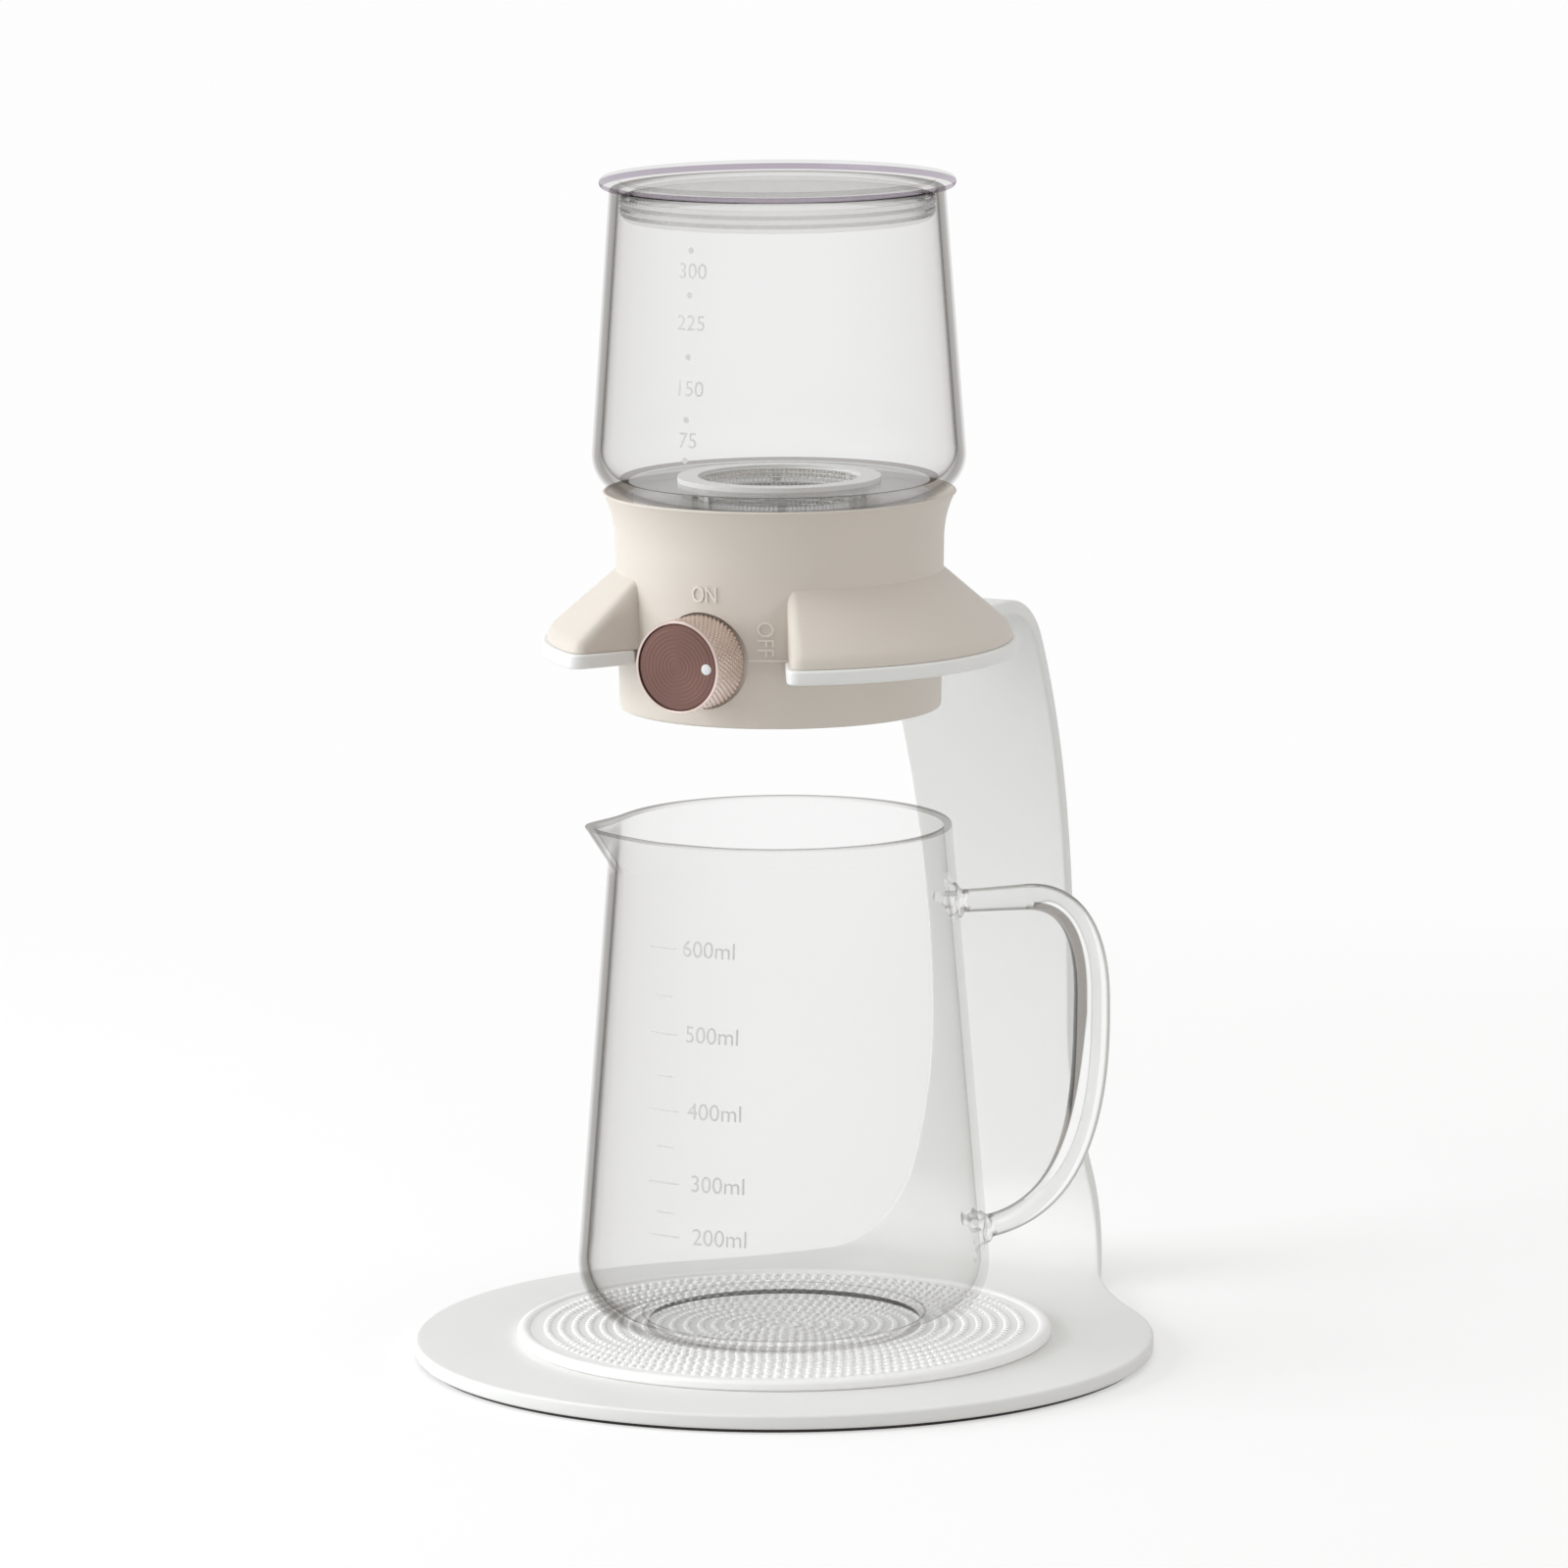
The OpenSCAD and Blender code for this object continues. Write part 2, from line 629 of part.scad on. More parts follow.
module housing() {
    end_wall = asin(skirt_wall / neck_r);
    color(cream) union() {
        difference() {
            union() {
                rotate_extrude() polygon(housing_points());
                difference() {
                    skirt_sweep(0, fork_z + seat_gap, skirt_gap);
                    skirt_sweep(skirt_wall, fork_z - cut, skirt_gap + 2 * end_wall);
                }
            }
            tap_rod(pocket_r, -collar_r, pocket_y);
            translate([0, 0, housing_low - cut]) cylinder(r = bore_r, h = deck_low - housing_low + cut);
            rotate_extrude() polygon([[0, deck_top], [bore_r, deck_top], [collar_r - collar_edge, collar_z],
                [collar_r - collar_edge, collar_z + cut], [0, collar_z + cut]]);
            translate([0, 0, deck_low - cut]) cylinder(r = funnel_r, h = deck_t + 2 * cut);
            tap_rod(gland_r + seat_gap, pocket_y - cut, 0);
        }
        screw_bosses();
    }
}

module tank_gasket() {
    color(silicone) ring(funnel_r, tank_flat_r, deck_top, tank_low);
}

module funnel_seal() {
    color(silicone) ring(funnel_r, bore_r - seat_gap, funnel_top, deck_low);
}

module funnel() {
    outer_r = funnel_r + funnel_wall;
    color(white) difference() {
        union() {
            translate([0, 0, funnel_top - funnel_flange_t])
                cylinder(r = bore_r - seat_gap, h = funnel_flange_t);
            rotate_extrude() polygon([[0, inlet_top], [socket_r, inlet_top], [outer_r, funnel_cone_z],
                [outer_r, funnel_top], [0, funnel_top]]);
            translate([0, 0, socket_low]) cylinder(r = socket_r, h = inlet_top - socket_low + cut);
        }
        rotate_extrude() polygon([[0, inlet_top], [flow_r, inlet_top], [flow_r, inlet_top + funnel_wall],
            [funnel_r, funnel_cone_z + funnel_wall], [funnel_r, funnel_top + cut], [0, funnel_top + cut]]);
        translate([0, 0, socket_low - cut])
            cylinder(r = pipe_r + seat_gap, h = inlet_top - socket_low + cut);
    }
}

// Groove in the inlet pipe that holds its seal
inlet_seal_z = (inlet_top + socket_low) / 2;
inlet_groove_r = pipe_r + seat_gap - 2 * o_ring_r;

module valve_body() {
    color(white) difference() {
        union() {
            tap_rod(barrel_r, barrel_front, barrel_back);
            translate([0, 0, pipe_low]) cylinder(r = pipe_r, h = inlet_top - pipe_low);
        }
        tap_rod(barrel_bore_r, plug_front - lift_gap, barrel_back + cut);
        tap_rod(stem_r + run_gap, barrel_front - cut, 0);
        translate([0, 0, pipe_low - cut]) cylinder(r = flow_r, h = inlet_top - pipe_low + 2 * cut);
        ring(inlet_groove_r, pipe_r + cut, inlet_seal_z - groove_w / 2, inlet_seal_z + groove_w / 2);
    }
}

module inlet_seal() {
    color("dimgray") translate([0, 0, inlet_seal_z]) rotate_extrude()
        translate([inlet_groove_r + o_ring_r, 0]) circle(r = o_ring_r);
}

module valve_cap() {
    color(white) {
        tap_rod(barrel_bore_r - run_gap, plug_back + lift_gap, barrel_back);
        tap_rod(barrel_r, barrel_back, barrel_back + cap_t);
    }
}

module outlet_nozzle() {
    color(silicone) difference() {
        union() {
            translate([0, 0, outlet_low]) cylinder(r = outlet_r, h = outlet_top - outlet_low + cut);
            translate([0, 0, outlet_top]) cylinder(r = outlet_r + outlet_flange_w, h = outlet_flange_t);
        }
        translate([0, 0, pipe_low]) cylinder(r = pipe_r + seat_gap, h = outlet_top + outlet_flange_t);
        translate([0, 0, outlet_low - cut]) cylinder(r = flow_r, h = outlet_lip_t + 2 * cut);
    }
}

module bottom_cover() {
    color(cream) difference() {
        translate([0, 0, cover_low]) cylinder(r = bore_r - seat_gap, h = cover_t);
        translate([0, 0, cover_low - cut]) cylinder(r = outlet_r + seat_gap, h = cover_t + 2 * cut);
        for (a = screw_angles) rotate([0, 0, a]) translate([screw_ring_r, 0, cover_low - cut])
            cylinder(r = screw_r + seat_gap, h = cover_t + 2 * cut);
    }
}

// One screw with its head below the cover and a hex socket in the head
module cover_screw() {
    difference() {
        union() {
            translate([0, 0, -screw_head_h]) cylinder(r = screw_head_r, h = screw_head_h);
            cylinder(r = screw_r, h = screw_len);
        }
        translate([0, 0, -screw_head_h - cut])
            cylinder(r = screw_head_r * key_share, h = screw_head_h / 2 + cut, $fn = 6);
    }
}

module cover_screws() {
    color(steel) for (a = screw_angles)
        rotate([0, 0, a]) translate([screw_ring_r, 0, cover_low]) cover_screw();
}

module stem_gland() {
    color(silicone) difference() {
        union() {
            tap_rod(gland_r + gland_flange_w, pocket_y - gland_flange_t, pocket_y);
            tap_rod(gland_r, pocket_y, gland_end - bore_r);
        }
        tap_rod(stem_r + run_gap, knob_back, 0);
    }
}

module valve_stem() {
    color(steel) difference() {
        union() {
            tap_rod(plug_r, plug_front, plug_back);
            tap_rod(stem_r, stem_front, plug_front + cut);
        }
        translate([0, 0, tap_z]) rotate([0, 90, 0]) cylinder(r = flow_r, h = 4 * plug_r, center = true);
        for (y = seal_places) tap_ring(groove_r, plug_r + cut, y - groove_w / 2, y + groove_w / 2);
    }
}

module stem_seals() {
    color("dimgray") for (y = seal_places) translate([0, y, tap_z]) rotate([90, 0, 0])
        rotate_extrude() translate([o_ring_centre_r, 0]) circle(r = o_ring_r);
}

module knob_body() {
    edge_r = knob_r - knob_bevel;
    color(rose) difference() {
        translate([0, knob_back, tap_z]) rotate([90, 0, 0]) rotate_extrude()
            polygon([[0, 0], [edge_r, 0], [knob_r, knob_bevel], [knob_r, knob_len - knob_bevel],
                [edge_r, knob_len], [0, knob_len]]);
        tap_rod(knob_face_d / 2 + run_gap, knob_front - cut, knob_floor);
        tap_rod(stem_r + run_gap / 2, stem_front, knob_back + cut);
        translate([0, set_screw_y, tap_z - knob_r - cut])
            cylinder(r = set_screw_r + run_gap, h = knob_r + cut);
    }
}

module knob_face() {
    color(brown) difference() {
        tap_rod(knob_face_d / 2, knob_front, knob_floor);
        translate([dot_r, 0, 0]) tap_rod(dot_d / 2 + run_gap / 2, knob_front - cut, knob_floor + cut);
    }
}

module knob_dot() {
    color(white) translate([dot_r, 0, 0]) tap_rod(dot_d / 2, knob_front, knob_floor);
}

module knob_set_screw() {
    screw_low = tap_z - knob_r + set_screw_inset;
    color(steel) difference() {
        translate([0, set_screw_y, screw_low]) cylinder(r = set_screw_r, h = tap_z - stem_r - screw_low);
        translate([0, set_screw_y, screw_low - cut])
            cylinder(r = set_screw_r * key_share, h = set_screw_key + cut, $fn = 6);
    }
}

module tank_glass() {
    color(clear) difference() {
        rotate_extrude() polygon(cup_points(tank_rim_r, tank_rim_z, tank_slope, tank_corner_r, tank_low));
        rotate_extrude() polygon(cup_points(tank_mouth_r - cut * tan(tank_slope), tank_rim_z + cut,
            tank_slope, tank_corner_r - tank_wall, tank_low + tank_floor));
        translate([0, 0, tank_low - cut]) cylinder(r = tank_hole_r, h = tank_floor + 2 * cut);
    }
}

module filter_frame() {
    color(silicone) union() {
        ring(mesh_r, filter_rim_r, filter_rim_low, filter_rim_low + filter_rim_t);
        ring(mesh_r, filter_r, filter_low, filter_low + filter_rib_w);
        intersection() {
            ring(mesh_r, filter_r, filter_low, filter_rim_low + filter_rim_t);
            for (i = [0:filter_ribs - 1]) rotate([0, 0, 360 * i / filter_ribs])
                translate([0, -filter_rib_w / 2, filter_low])
                    cube([filter_r + cut, filter_rib_w, filter_depth + filter_rim_t]);
        }
    }
}

module filter_mesh() {
    color(steel) {
        ring(mesh_r - mesh_t, mesh_r, filter_low, filter_rim_low + filter_rim_t);
        translate([0, 0, filter_low]) cylinder(r = mesh_r, h = mesh_t);
    }
}

module lid_cover() {
    bead_r = lid_rim_t / 2;
    plate_low = lid_hollow_z - lid_plate_t;
    inner_r = lid_plug_r - lid_plug_wall;
    border_r = lid_r - lid_border;
    color(clear) union() {
        rotate_extrude() translate([lid_r - bead_r, tank_rim_z + bead_r]) circle(r = bead_r);
        rotate_extrude() polygon([[0, plate_low], [inner_r, plate_low], [inner_r, lid_plug_low],
            [lid_plug_r, lid_plug_low], [lid_plug_r, tank_rim_z], [lid_r - bead_r, tank_rim_z],
            [lid_r - bead_r, lid_top], [border_r, lid_top], [border_r - lid_hollow, lid_hollow_z],
            [0, lid_hollow_z]]);
    }
}

// Ribbed band round the lid's plug, with soft lips that touch the tank
module lid_seal() {
    last = 2 * lid_seal_lips;
    color(silicone) rotate_extrude() polygon(concat(
        [[lid_plug_r, lid_seal_low]],
        [for (i = [0:last])
            [lid_seal_r - (i % 2 == 0 ? lid_seal_lip : 0), lid_seal_low + lid_seal_h * i / last]],
        [[lid_plug_r, lid_seal_low + lid_seal_h]]));
}

stand();
foot_pad();
drip_mat();
jug_glass();
jug_handle();
housing();
tank_gasket();
funnel();
funnel_seal();
valve_body();
inlet_seal();
valve_cap();
outlet_nozzle();
bottom_cover();
cover_screws();
stem_gland();
valve_stem();
stem_seals();
knob_body();
knob_face();
knob_dot();
knob_set_screw();
tank_glass();
filter_frame();
filter_mesh();
lid_cover();
lid_seal();
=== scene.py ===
"""Looks of a steep-and-release tea maker: glass tank and jug, cream tap housing, white bent stand."""

from collections import namedtuple
from math import acos, asin, atan2, cos, degrees, exp, floor, hypot, pi, radians, sin, sqrt, tan

import bpy
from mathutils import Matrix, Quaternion, Vector
from mathutils.geometry import delaunay_2d_cdt, tessellate_polygon


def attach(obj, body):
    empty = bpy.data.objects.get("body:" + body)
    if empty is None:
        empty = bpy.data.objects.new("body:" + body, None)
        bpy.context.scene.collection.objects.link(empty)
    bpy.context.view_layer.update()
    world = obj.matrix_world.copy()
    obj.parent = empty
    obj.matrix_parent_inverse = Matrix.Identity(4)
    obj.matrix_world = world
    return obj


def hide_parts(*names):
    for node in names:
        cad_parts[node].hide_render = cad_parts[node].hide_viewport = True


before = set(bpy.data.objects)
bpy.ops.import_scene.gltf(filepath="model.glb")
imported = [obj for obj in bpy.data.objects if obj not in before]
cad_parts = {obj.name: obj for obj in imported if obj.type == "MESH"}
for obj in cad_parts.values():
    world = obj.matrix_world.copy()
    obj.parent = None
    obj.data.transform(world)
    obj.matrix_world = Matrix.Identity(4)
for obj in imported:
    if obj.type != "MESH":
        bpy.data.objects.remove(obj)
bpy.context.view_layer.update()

# Metres in a millimetre: shapes are worked out in millimetres
MM = 0.001
# Height that keeps resting faces from lying in one plane
LIFT = 0.03

# Stand
BASE_R = 90
SHEET_T = 3.5
BASE_TOP = 4.5
SPINE_Y = BASE_R + 25.3
SPINE_W = 39.2
ARM_W = 44
BASE_BEND_R = 20
FLARE_R = 140
LEAN_Z = 65
LEAN_R = 230
ARM_BEND_R = 16
FORK_Z = 176.2
FORK_LOW = FORK_Z - SHEET_T
FORK_R = 57.5
FORK_GAP = 60
FORK_FILLET = 18
FORK_END_R = 3
FORK_TIP_R = 2
SHEET_ROUND = 0.7

# Mat
MAT_R = 65
MAT_TOP = 6.5
MAT_BORDER = 3.2
MAT_BEAD = 0.55
MAT_BEAD_SINK = 0.4
MAT_EDGE = 0.5
NUB_H = 0.5
NUB_R = 0.95
NUB_PITCH = 2.5
NUB_RING_PITCH = 3.4

# Jug
JUG_LOW = 7.2
JUG_RIM_Z = 131
JUG_RIM_R = 41.3
JUG_SLOPE = 4.7
JUG_CORNER_R = 16
JUG_WALL = 2
JUG_FLOOR = 2.8
JUG_PUNT_R = 33.4
JUG_RING_R = 34.5
JUG_PUNT = 1.3
SPOUT_DEPTH = 10
SPOUT_REACH = 8.3
SPOUT_RISE = 1.6
SPOUT_SOFT = 10
HANDLE_TURN = 46
GRIP_R = 79.5
HANDLE_TOP = 101.7
HANDLE_LOW = 20
GRIP_T = 8.8
GRIP_W = 11.5
ROOT_T = 5.6
ROOT_W = 6.6
UPPER_BEND_W = 17
UPPER_BEND_H = 25
UPPER_PULL = 0.65
SWEEP_PULL = 27
SWEEP_LEAN = 2.5
SWEEP_RISE = 1
ROOT_COVER = 6
ROOT_FLARE_R = 4.2
ROOT_SINK = 0.7
ROOT_LOBES = 0.4
ROOT_BEAD = 0.8
ROOT_BEAD_AT = 1.7
# Painted dark streak inside the handle's bend: where it starts along the handle, its lowest height, and
# how it narrows towards the foot
STREAK_START = 40
STREAK_LOW = 34
STREAK_WIDE_Z = 80
STREAK_NARROW = -0.4

# Tank and lid
TANK_LOW = 210.8
TANK_RIM_Z = 285
TANK_RIM_R = 40.4
TANK_SLOPE = 4.2
TANK_CORNER_R = 10
TANK_WALL = 2
TANK_FLOOR = 3.4
TANK_HOLE_R = 21
TANK_HOLE_EDGE = 0.4
LID_R = 42.8
LID_TOP = 287.5
LID_BORDER = 4.4
LID_HOLLOW = 1.4
LID_PLATE_T = 1.8
LID_PLUG_R = 37.19
LID_PLUG_WALL = 1.8
LID_PLUG_LOW = 277.4

# Housing
NECK_R = 39.6
FOOT_R = 38.75
FOOT_EDGE_R = 0.8
HOUSING_LOW = 159.5
COLLAR_Z = 212
COLLAR_R = 42.6
COLLAR_FLARE_H = 12
COLLAR_EDGE = 1
BORE_R = 36.35
DECK_TOP = 208.8
DECK_LOW = 206.3
FUNNEL_R = 24
SKIRT_R = 56.1
SKIRT_H = 16.6
SKIRT_SLOPE = 41
SKIRT_ROUND = 5
SKIRT_WALL = 2
SKIRT_GAP = 62
SKIRT_END_R = 2.8
SKIRT_LOW = FORK_Z + 0.1
SKIRT_ROOT = 1.2

# Knob
TAP_Z = 175.5
KNOB_BACK = -38.05
KNOB_R = 11.25
KNOB_LEN = 13.4
KNOB_BORE_R = 3.53
KNOB_FACE_R = 10.4
KNOB_FACE_T = 1.4
KNURL_STARTS = 58
KNURL_LEAD = 2.1
KNURL_DEPTH = 0.32
DOT_R = 1.3
DOT_PLACE = 7.9
POCKET_Y = -37.35
POCKET_R = 11.65
GLAND_R = 5.1

# Filter mesh
FILTER_LOW = 203.2
FILTER_TOP = 215.4
MESH_R = 19.6
WIRE_R = 0.14
WIRE_PITCH = 1.1
WIRE_START = 0.5

# Derived places of the sheet's bends
LOW_BEND_Y = SPINE_Y - BASE_BEND_R
LOW_BEND_Z = BASE_TOP + BASE_BEND_R
LEAN_Y = SPINE_Y - LEAN_R
LEAN_END = asin((FORK_LOW - ARM_BEND_R - LEAN_Z) / (LEAN_R - ARM_BEND_R))
HIGH_BEND_Y = LEAN_Y + (LEAN_R - ARM_BEND_R) * cos(LEAN_END)
HIGH_BEND_Z = LEAN_Z + (LEAN_R - ARM_BEND_R) * sin(LEAN_END)
FLARE_X = SPINE_W / 2 + FLARE_R
FLARE_Y = sqrt((BASE_R + FLARE_R) ** 2 - FLARE_X**2)
FILLET_X = ARM_W / 2 + FORK_FILLET
FILLET_Y = sqrt((FORK_R + FORK_FILLET) ** 2 - FILLET_X**2)
FORK_HOLE_R = NECK_R + 0.4

# Lengths along the sheet's inner face, from the middle of the base
BEND_START = LOW_BEND_Y
BEND_END = BEND_START + BASE_BEND_R * pi / 2
LEAN_START = BEND_END + LEAN_Z - LOW_BEND_Z
ARM_BEND_START = LEAN_START + LEAN_R * LEAN_END
ARM_START = ARM_BEND_START + ARM_BEND_R * (pi / 2 - LEAN_END)
FORK_ALONG = ARM_START + HIGH_BEND_Y


def srgb(red, green, blue):
    """A colour in steps of 255 as a linear colour."""
    shares = [c / 255 for c in (red, green, blue)]
    return [c / 12.92 if c <= 0.04045 else ((c + 0.055) / 1.055) ** 2.4 for c in shares]


# Points and faces

# Place of a face's middle in millimetres, its distance from the axis, and how far it looks out and up
Face = namedtuple("Face", "x y z r out up")


def spread(start, end, steps):
    """Evenly spaced numbers from start to end, both included."""
    return [start + (end - start) * i / steps for i in range(steps + 1)]


def arc(centre, radius, start, end, steps):
    """Points on an arc between two angles in degrees."""
    return [
        (centre[0] + radius * cos(radians(a)), centre[1] + radius * sin(radians(a)))
        for a in spread(start, end, steps)
    ]


def smooth(share):
    """Eases a share from 0 to 1."""
    share = min(1, max(0, share))
    return share * share * (3 - 2 * share)


def polar(r, a, z):
    """A point at a distance from the Z axis and an angle in radians."""
    return (r * cos(a), r * sin(a), z)


def revolve(profile, steps, closed=False, shape=None):
    """A profile of radius and height turned about Z, with its radius changed by a shape."""
    points = []
    rings = []
    for r, z in profile:
        start = len(points)
        if r == 0:
            rings.append([start] * steps)
            points.append((0, 0, z))
            continue
        rings.append(range(start, start + steps))
        for k in range(steps):
            a = 2 * pi * k / steps
            reach = shape(r, z, a) if shape else r
            points.append(polar(reach, a, z))
    faces = []
    for low, high in zip(rings, rings[1:] + ([rings[0]] if closed else [])):
        for k in range(steps):
            n = (k + 1) % steps
            faces.append(list(dict.fromkeys([low[k], low[n], high[n], high[k]])))
    return points, faces


def skin(rings, closed=True):
    """Faces over rings of points with the same count."""
    count = len(rings[0])
    points = [p for ring in rings for p in ring]
    faces = []
    for i in range(len(rings) - 1):
        for k in range(count if closed else count - 1):
            n = (k + 1) % count
            faces.append([i * count + k, i * count + n, (i + 1) * count + n, (i + 1) * count + k])
    return points, faces


def tube(rings):
    """A closed tube over rings of points."""
    points, faces = skin(rings)
    count = len(rings[0])
    last = len(points) - count
    return points, faces + [list(range(count))[::-1], list(range(last, last + count))]


def join(*shapes):
    """Several shapes as one."""
    points = []
    faces = []
    for more_points, more_faces in shapes:
        start = len(points)
        points += more_points
        faces += [[start + i for i in face] for face in more_faces]
    return points, faces


def moved(shape, place):
    """A shape with each point put elsewhere."""
    points, faces = shape
    return [place(*p) for p in points], faces


def on_tap(x, y, z):
    """A point of a turned shape on the tap's axis, with z towards the front."""
    return (x, KNOB_BACK - z, TAP_Z + y)


def place_object(name, data):
    """A new object in the scene."""
    obj = bpy.data.objects.new(name, data)
    bpy.context.scene.collection.objects.link(obj)
    return obj


def take_mesh(mesh):
    """Points and faces of a mesh, which is then deleted."""
    shape = ([tuple(v.co) for v in mesh.vertices], [list(p.vertices) for p in mesh.polygons])
    bpy.data.meshes.remove(mesh)
    return shape


def combined(shape, other, operation):
    """Two closed shapes joined or cut into one skin."""
    holders = []
    for points, faces in (shape, other):
        mesh = bpy.data.meshes.new("form")
        mesh.from_pydata(points, [], faces)
        holders.append(place_object("form", mesh))
    change = holders[0].modifiers.new("change", "BOOLEAN")
    change.operation = operation
    change.solver = "EXACT"
    change.object = holders[1]
    view = bpy.context.evaluated_depsgraph_get()
    result = take_mesh(bpy.data.meshes.new_from_object(holders[0].evaluated_get(view)))
    for holder in holders:
        bpy.data.objects.remove(holder)
    return result


def add_piece(name, shape, material, body, nodes=(), crease=35):
    """Makes a piece that rides on a body and may stand for CAD nodes."""
    points, faces = shape
    mesh = bpy.data.meshes.new(name)
    mesh.from_pydata([[MM * c for c in p] for p in points], [], faces)
    mesh.shade_smooth()
    mesh.set_sharp_from_angle(angle=radians(crease))
    mesh.materials.append(material)
    obj = place_object(name, mesh)
    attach(obj, body)
    if nodes:
        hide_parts(*nodes)
    return obj


def give_finishes(obj, *finishes):
    """Gives each face of an object the first finish whose test holds for it."""
    for material, _ in finishes:
        obj.data.materials.append(material)
    for face in obj.data.polygons:
        x, y, z = [c / MM for c in face.center]
        out = (x * face.normal.x + y * face.normal.y) / max(hypot(x, y), 1)
        seen = Face(x, y, z, hypot(x, y), out, face.normal.z)
        for i, (_, suits) in enumerate(finishes):
            if suits(seen):
                face.material_index = i + 1
                break


# Materials

# Height of the ripples in glass, in metres
RIPPLE = 0.00002
# Side on which the jug's edges get painted shade, and where the tone changes across the jug to the paler
# side, in metres
DARK_SIDE = (-0.879, -0.477, 0)
DARK_START = -0.01
DARK_END = 0.02
# How much of each colour a tint takes away
GLASS_HUE = (0.97, 1, 1.03)
LID_HUE = (0.97, 1.1, 0.93)
# Gloss of a wall that faces the eye and of one seen edge on, and how fast it grows
WALL_GLOSS = (0.015, 0.035)
FLOOR_GLOSS = (0.02, 1.3)
GLOSS_POWER = 4
WALL_ROUGH = (0.12, 0.2)
ROD_ROUGH = (0.0, 0.02)
GLASS_IOR = 1.47
SOFT_IOR = 1.41
THICK_TINT = (0.94, 0.94, 0.94, 1)
STRAIGHT_TINT = (0.96, 0.96, 0.96, 1)
ROOT_THROUGH = 0.4
# Root of the share of light that passes a face, by how far it turns away from the eye. The dips are
# painted shade: dark edges, rims, lines and a streak in place of the dark surroundings that glass bends
# into view
DARK_OUTER = [(0, 0.985), (0.42, 0.97), (0.55, 0.955), (0.63, 0.92), (0.66, 0.84), (0.68, 0.78),
              (0.71, 0.765), (0.75, 0.8), (0.8, 0.825), (0.825, 0.86), (0.855, 0.91), (0.9, 0.945),
              (1, 0.97)]
DARK_INNER = [(0, 0.987), (0.7, 0.97), (0.8, 0.95), (0.85, 0.9), (0.9, 0.86), (1, 0.85)]
PALE_OUTER = [(0, 0.985), (0.42, 0.98), (0.66, 0.965), (0.7, 0.95), (0.8, 0.96), (1, 0.98)]
PALE_INNER = [(0, 0.987), (0.7, 0.98), (0.85, 0.96), (1, 0.92)]
RIM_EDGE = [(0, 0.985), (0.3, 0.92), (0.5, 0.8), (0.85, 0.8), (1, 0.85)]
FLAT = [(0, 0.992), (1, 0.99)]
LINE = [(0, 0.87), (1, 0.82)]
FLOOR_LINE = [(0, 0.72), (1, 0.68)]
LID_FLAT = [(0, 0.965), (0.9, 0.955), (1, 0.92)]
LID_EDGE = [(0, 0.7), (0.6, 0.74), (1, 0.8)]
ROD_EDGE = [(0, 0.98), (0.35, 0.96), (0.5, 0.55), (0.65, 0.35), (0.85, 0.35), (1, 0.5)]
# Painted dark streak inside the handle's bend
STREAK = [(0, 0.98), (0.1, 0.96), (0.14, 0.33), (0.9, 0.3), (1, 0.5)]


def blank(name):
    """A new material and its nodes."""
    material = bpy.data.materials.new(name)
    material.use_nodes = True
    return material, material.node_tree


def add(tree, kind):
    """A new shader node."""
    return tree.nodes.new("ShaderNode" + kind)


def link(source, socket):
    """Feeds a socket."""
    socket.id_data.links.new(source, socket)


def own_place(tree):
    """A point's place in the object's own space."""
    return add(tree, "TexCoord").outputs["Object"]


def noise(tree, scale, detail):
    """A noise in the object's own space."""
    node = add(tree, "TexNoise")
    node.inputs["Scale"].default_value = scale
    node.inputs["Detail"].default_value = detail
    link(own_place(tree), node.inputs["Vector"])
    return node.outputs["Fac"]


def remap(tree, value, low, high, start=0.0, end=1.0):
    """A value from start to end spread over another range, and held beyond it."""
    node = add(tree, "MapRange")
    for socket, number in zip(node.inputs[1:5], (start, end, low, high)):
        socket.default_value = number
    link(value, node.inputs["Value"])
    return node.outputs["Result"]


def sums(tree, operation, first, second=0.0):
    """A sum of two values, each a socket or a number."""
    node = add(tree, "Math")
    node.operation = operation
    for socket, value in zip(node.inputs, (first, second)):
        if isinstance(value, (int, float)):
            socket.default_value = value
        else:
            link(value, socket)
    return node.outputs["Value"]


def rays(tree, *kinds):
    """1 for rays of some kinds, such as Is Camera Ray."""
    path = add(tree, "LightPath")
    total = path.outputs[kinds[0]]
    for kind in kinds[1:]:
        total = sums(tree, "MAXIMUM", total, path.outputs[kind])
    return total


def relief(tree, shader, height, distance):
    """Bumps a shader by a height from 0 to 1 times a distance in metres."""
    node = add(tree, "Bump")
    node.inputs["Strength"].default_value = 1
    node.inputs["Distance"].default_value = distance
    link(height, node.inputs["Height"])
    link(node.outputs["Normal"], shader.inputs["Normal"])


def mixed(tree, share, first, second):
    """A shader between two."""
    node = add(tree, "MixShader")
    for socket, source in zip(node.inputs, (share, first, second)):
        link(source, socket)
    return node.outputs["Shader"]


def show(tree, shader, output="Material Output"):
    """Makes a shader the one that is seen."""
    link(shader, tree.nodes[output].inputs["Surface"])


def opaque(name, colour, shade, rough, grain, bump, cloud=60, **sockets):
    """A finish with cloudy tone, uneven gloss and a fine grain."""
    material, tree = blank(name)
    shader = tree.nodes["Principled BSDF"]
    tones = add(tree, "ValToRGB")
    stops = ((0.3, [c * (1 - shade) for c in colour]), (0.7, colour))
    for stop, (place, tone) in zip(tones.color_ramp.elements, stops):
        stop.position = place
        stop.color = (*tone, 1)
    link(noise(tree, cloud, 4), tones.inputs["Fac"])
    link(tones.outputs["Color"], shader.inputs["Base Color"])
    link(remap(tree, noise(tree, cloud * 5, 3), *rough), shader.inputs["Roughness"])
    relief(tree, shader, noise(tree, grain, 2), bump)
    for socket, value in sockets.items():
        shader.inputs[socket.replace("_", " ")].default_value = value
    return material


def turn_from_eye(tree):
    """How far a face turns away from the eye, from 0 to 1."""
    node = add(tree, "LayerWeight")
    node.inputs["Blend"].default_value = 0.5
    return node.outputs["Facing"]


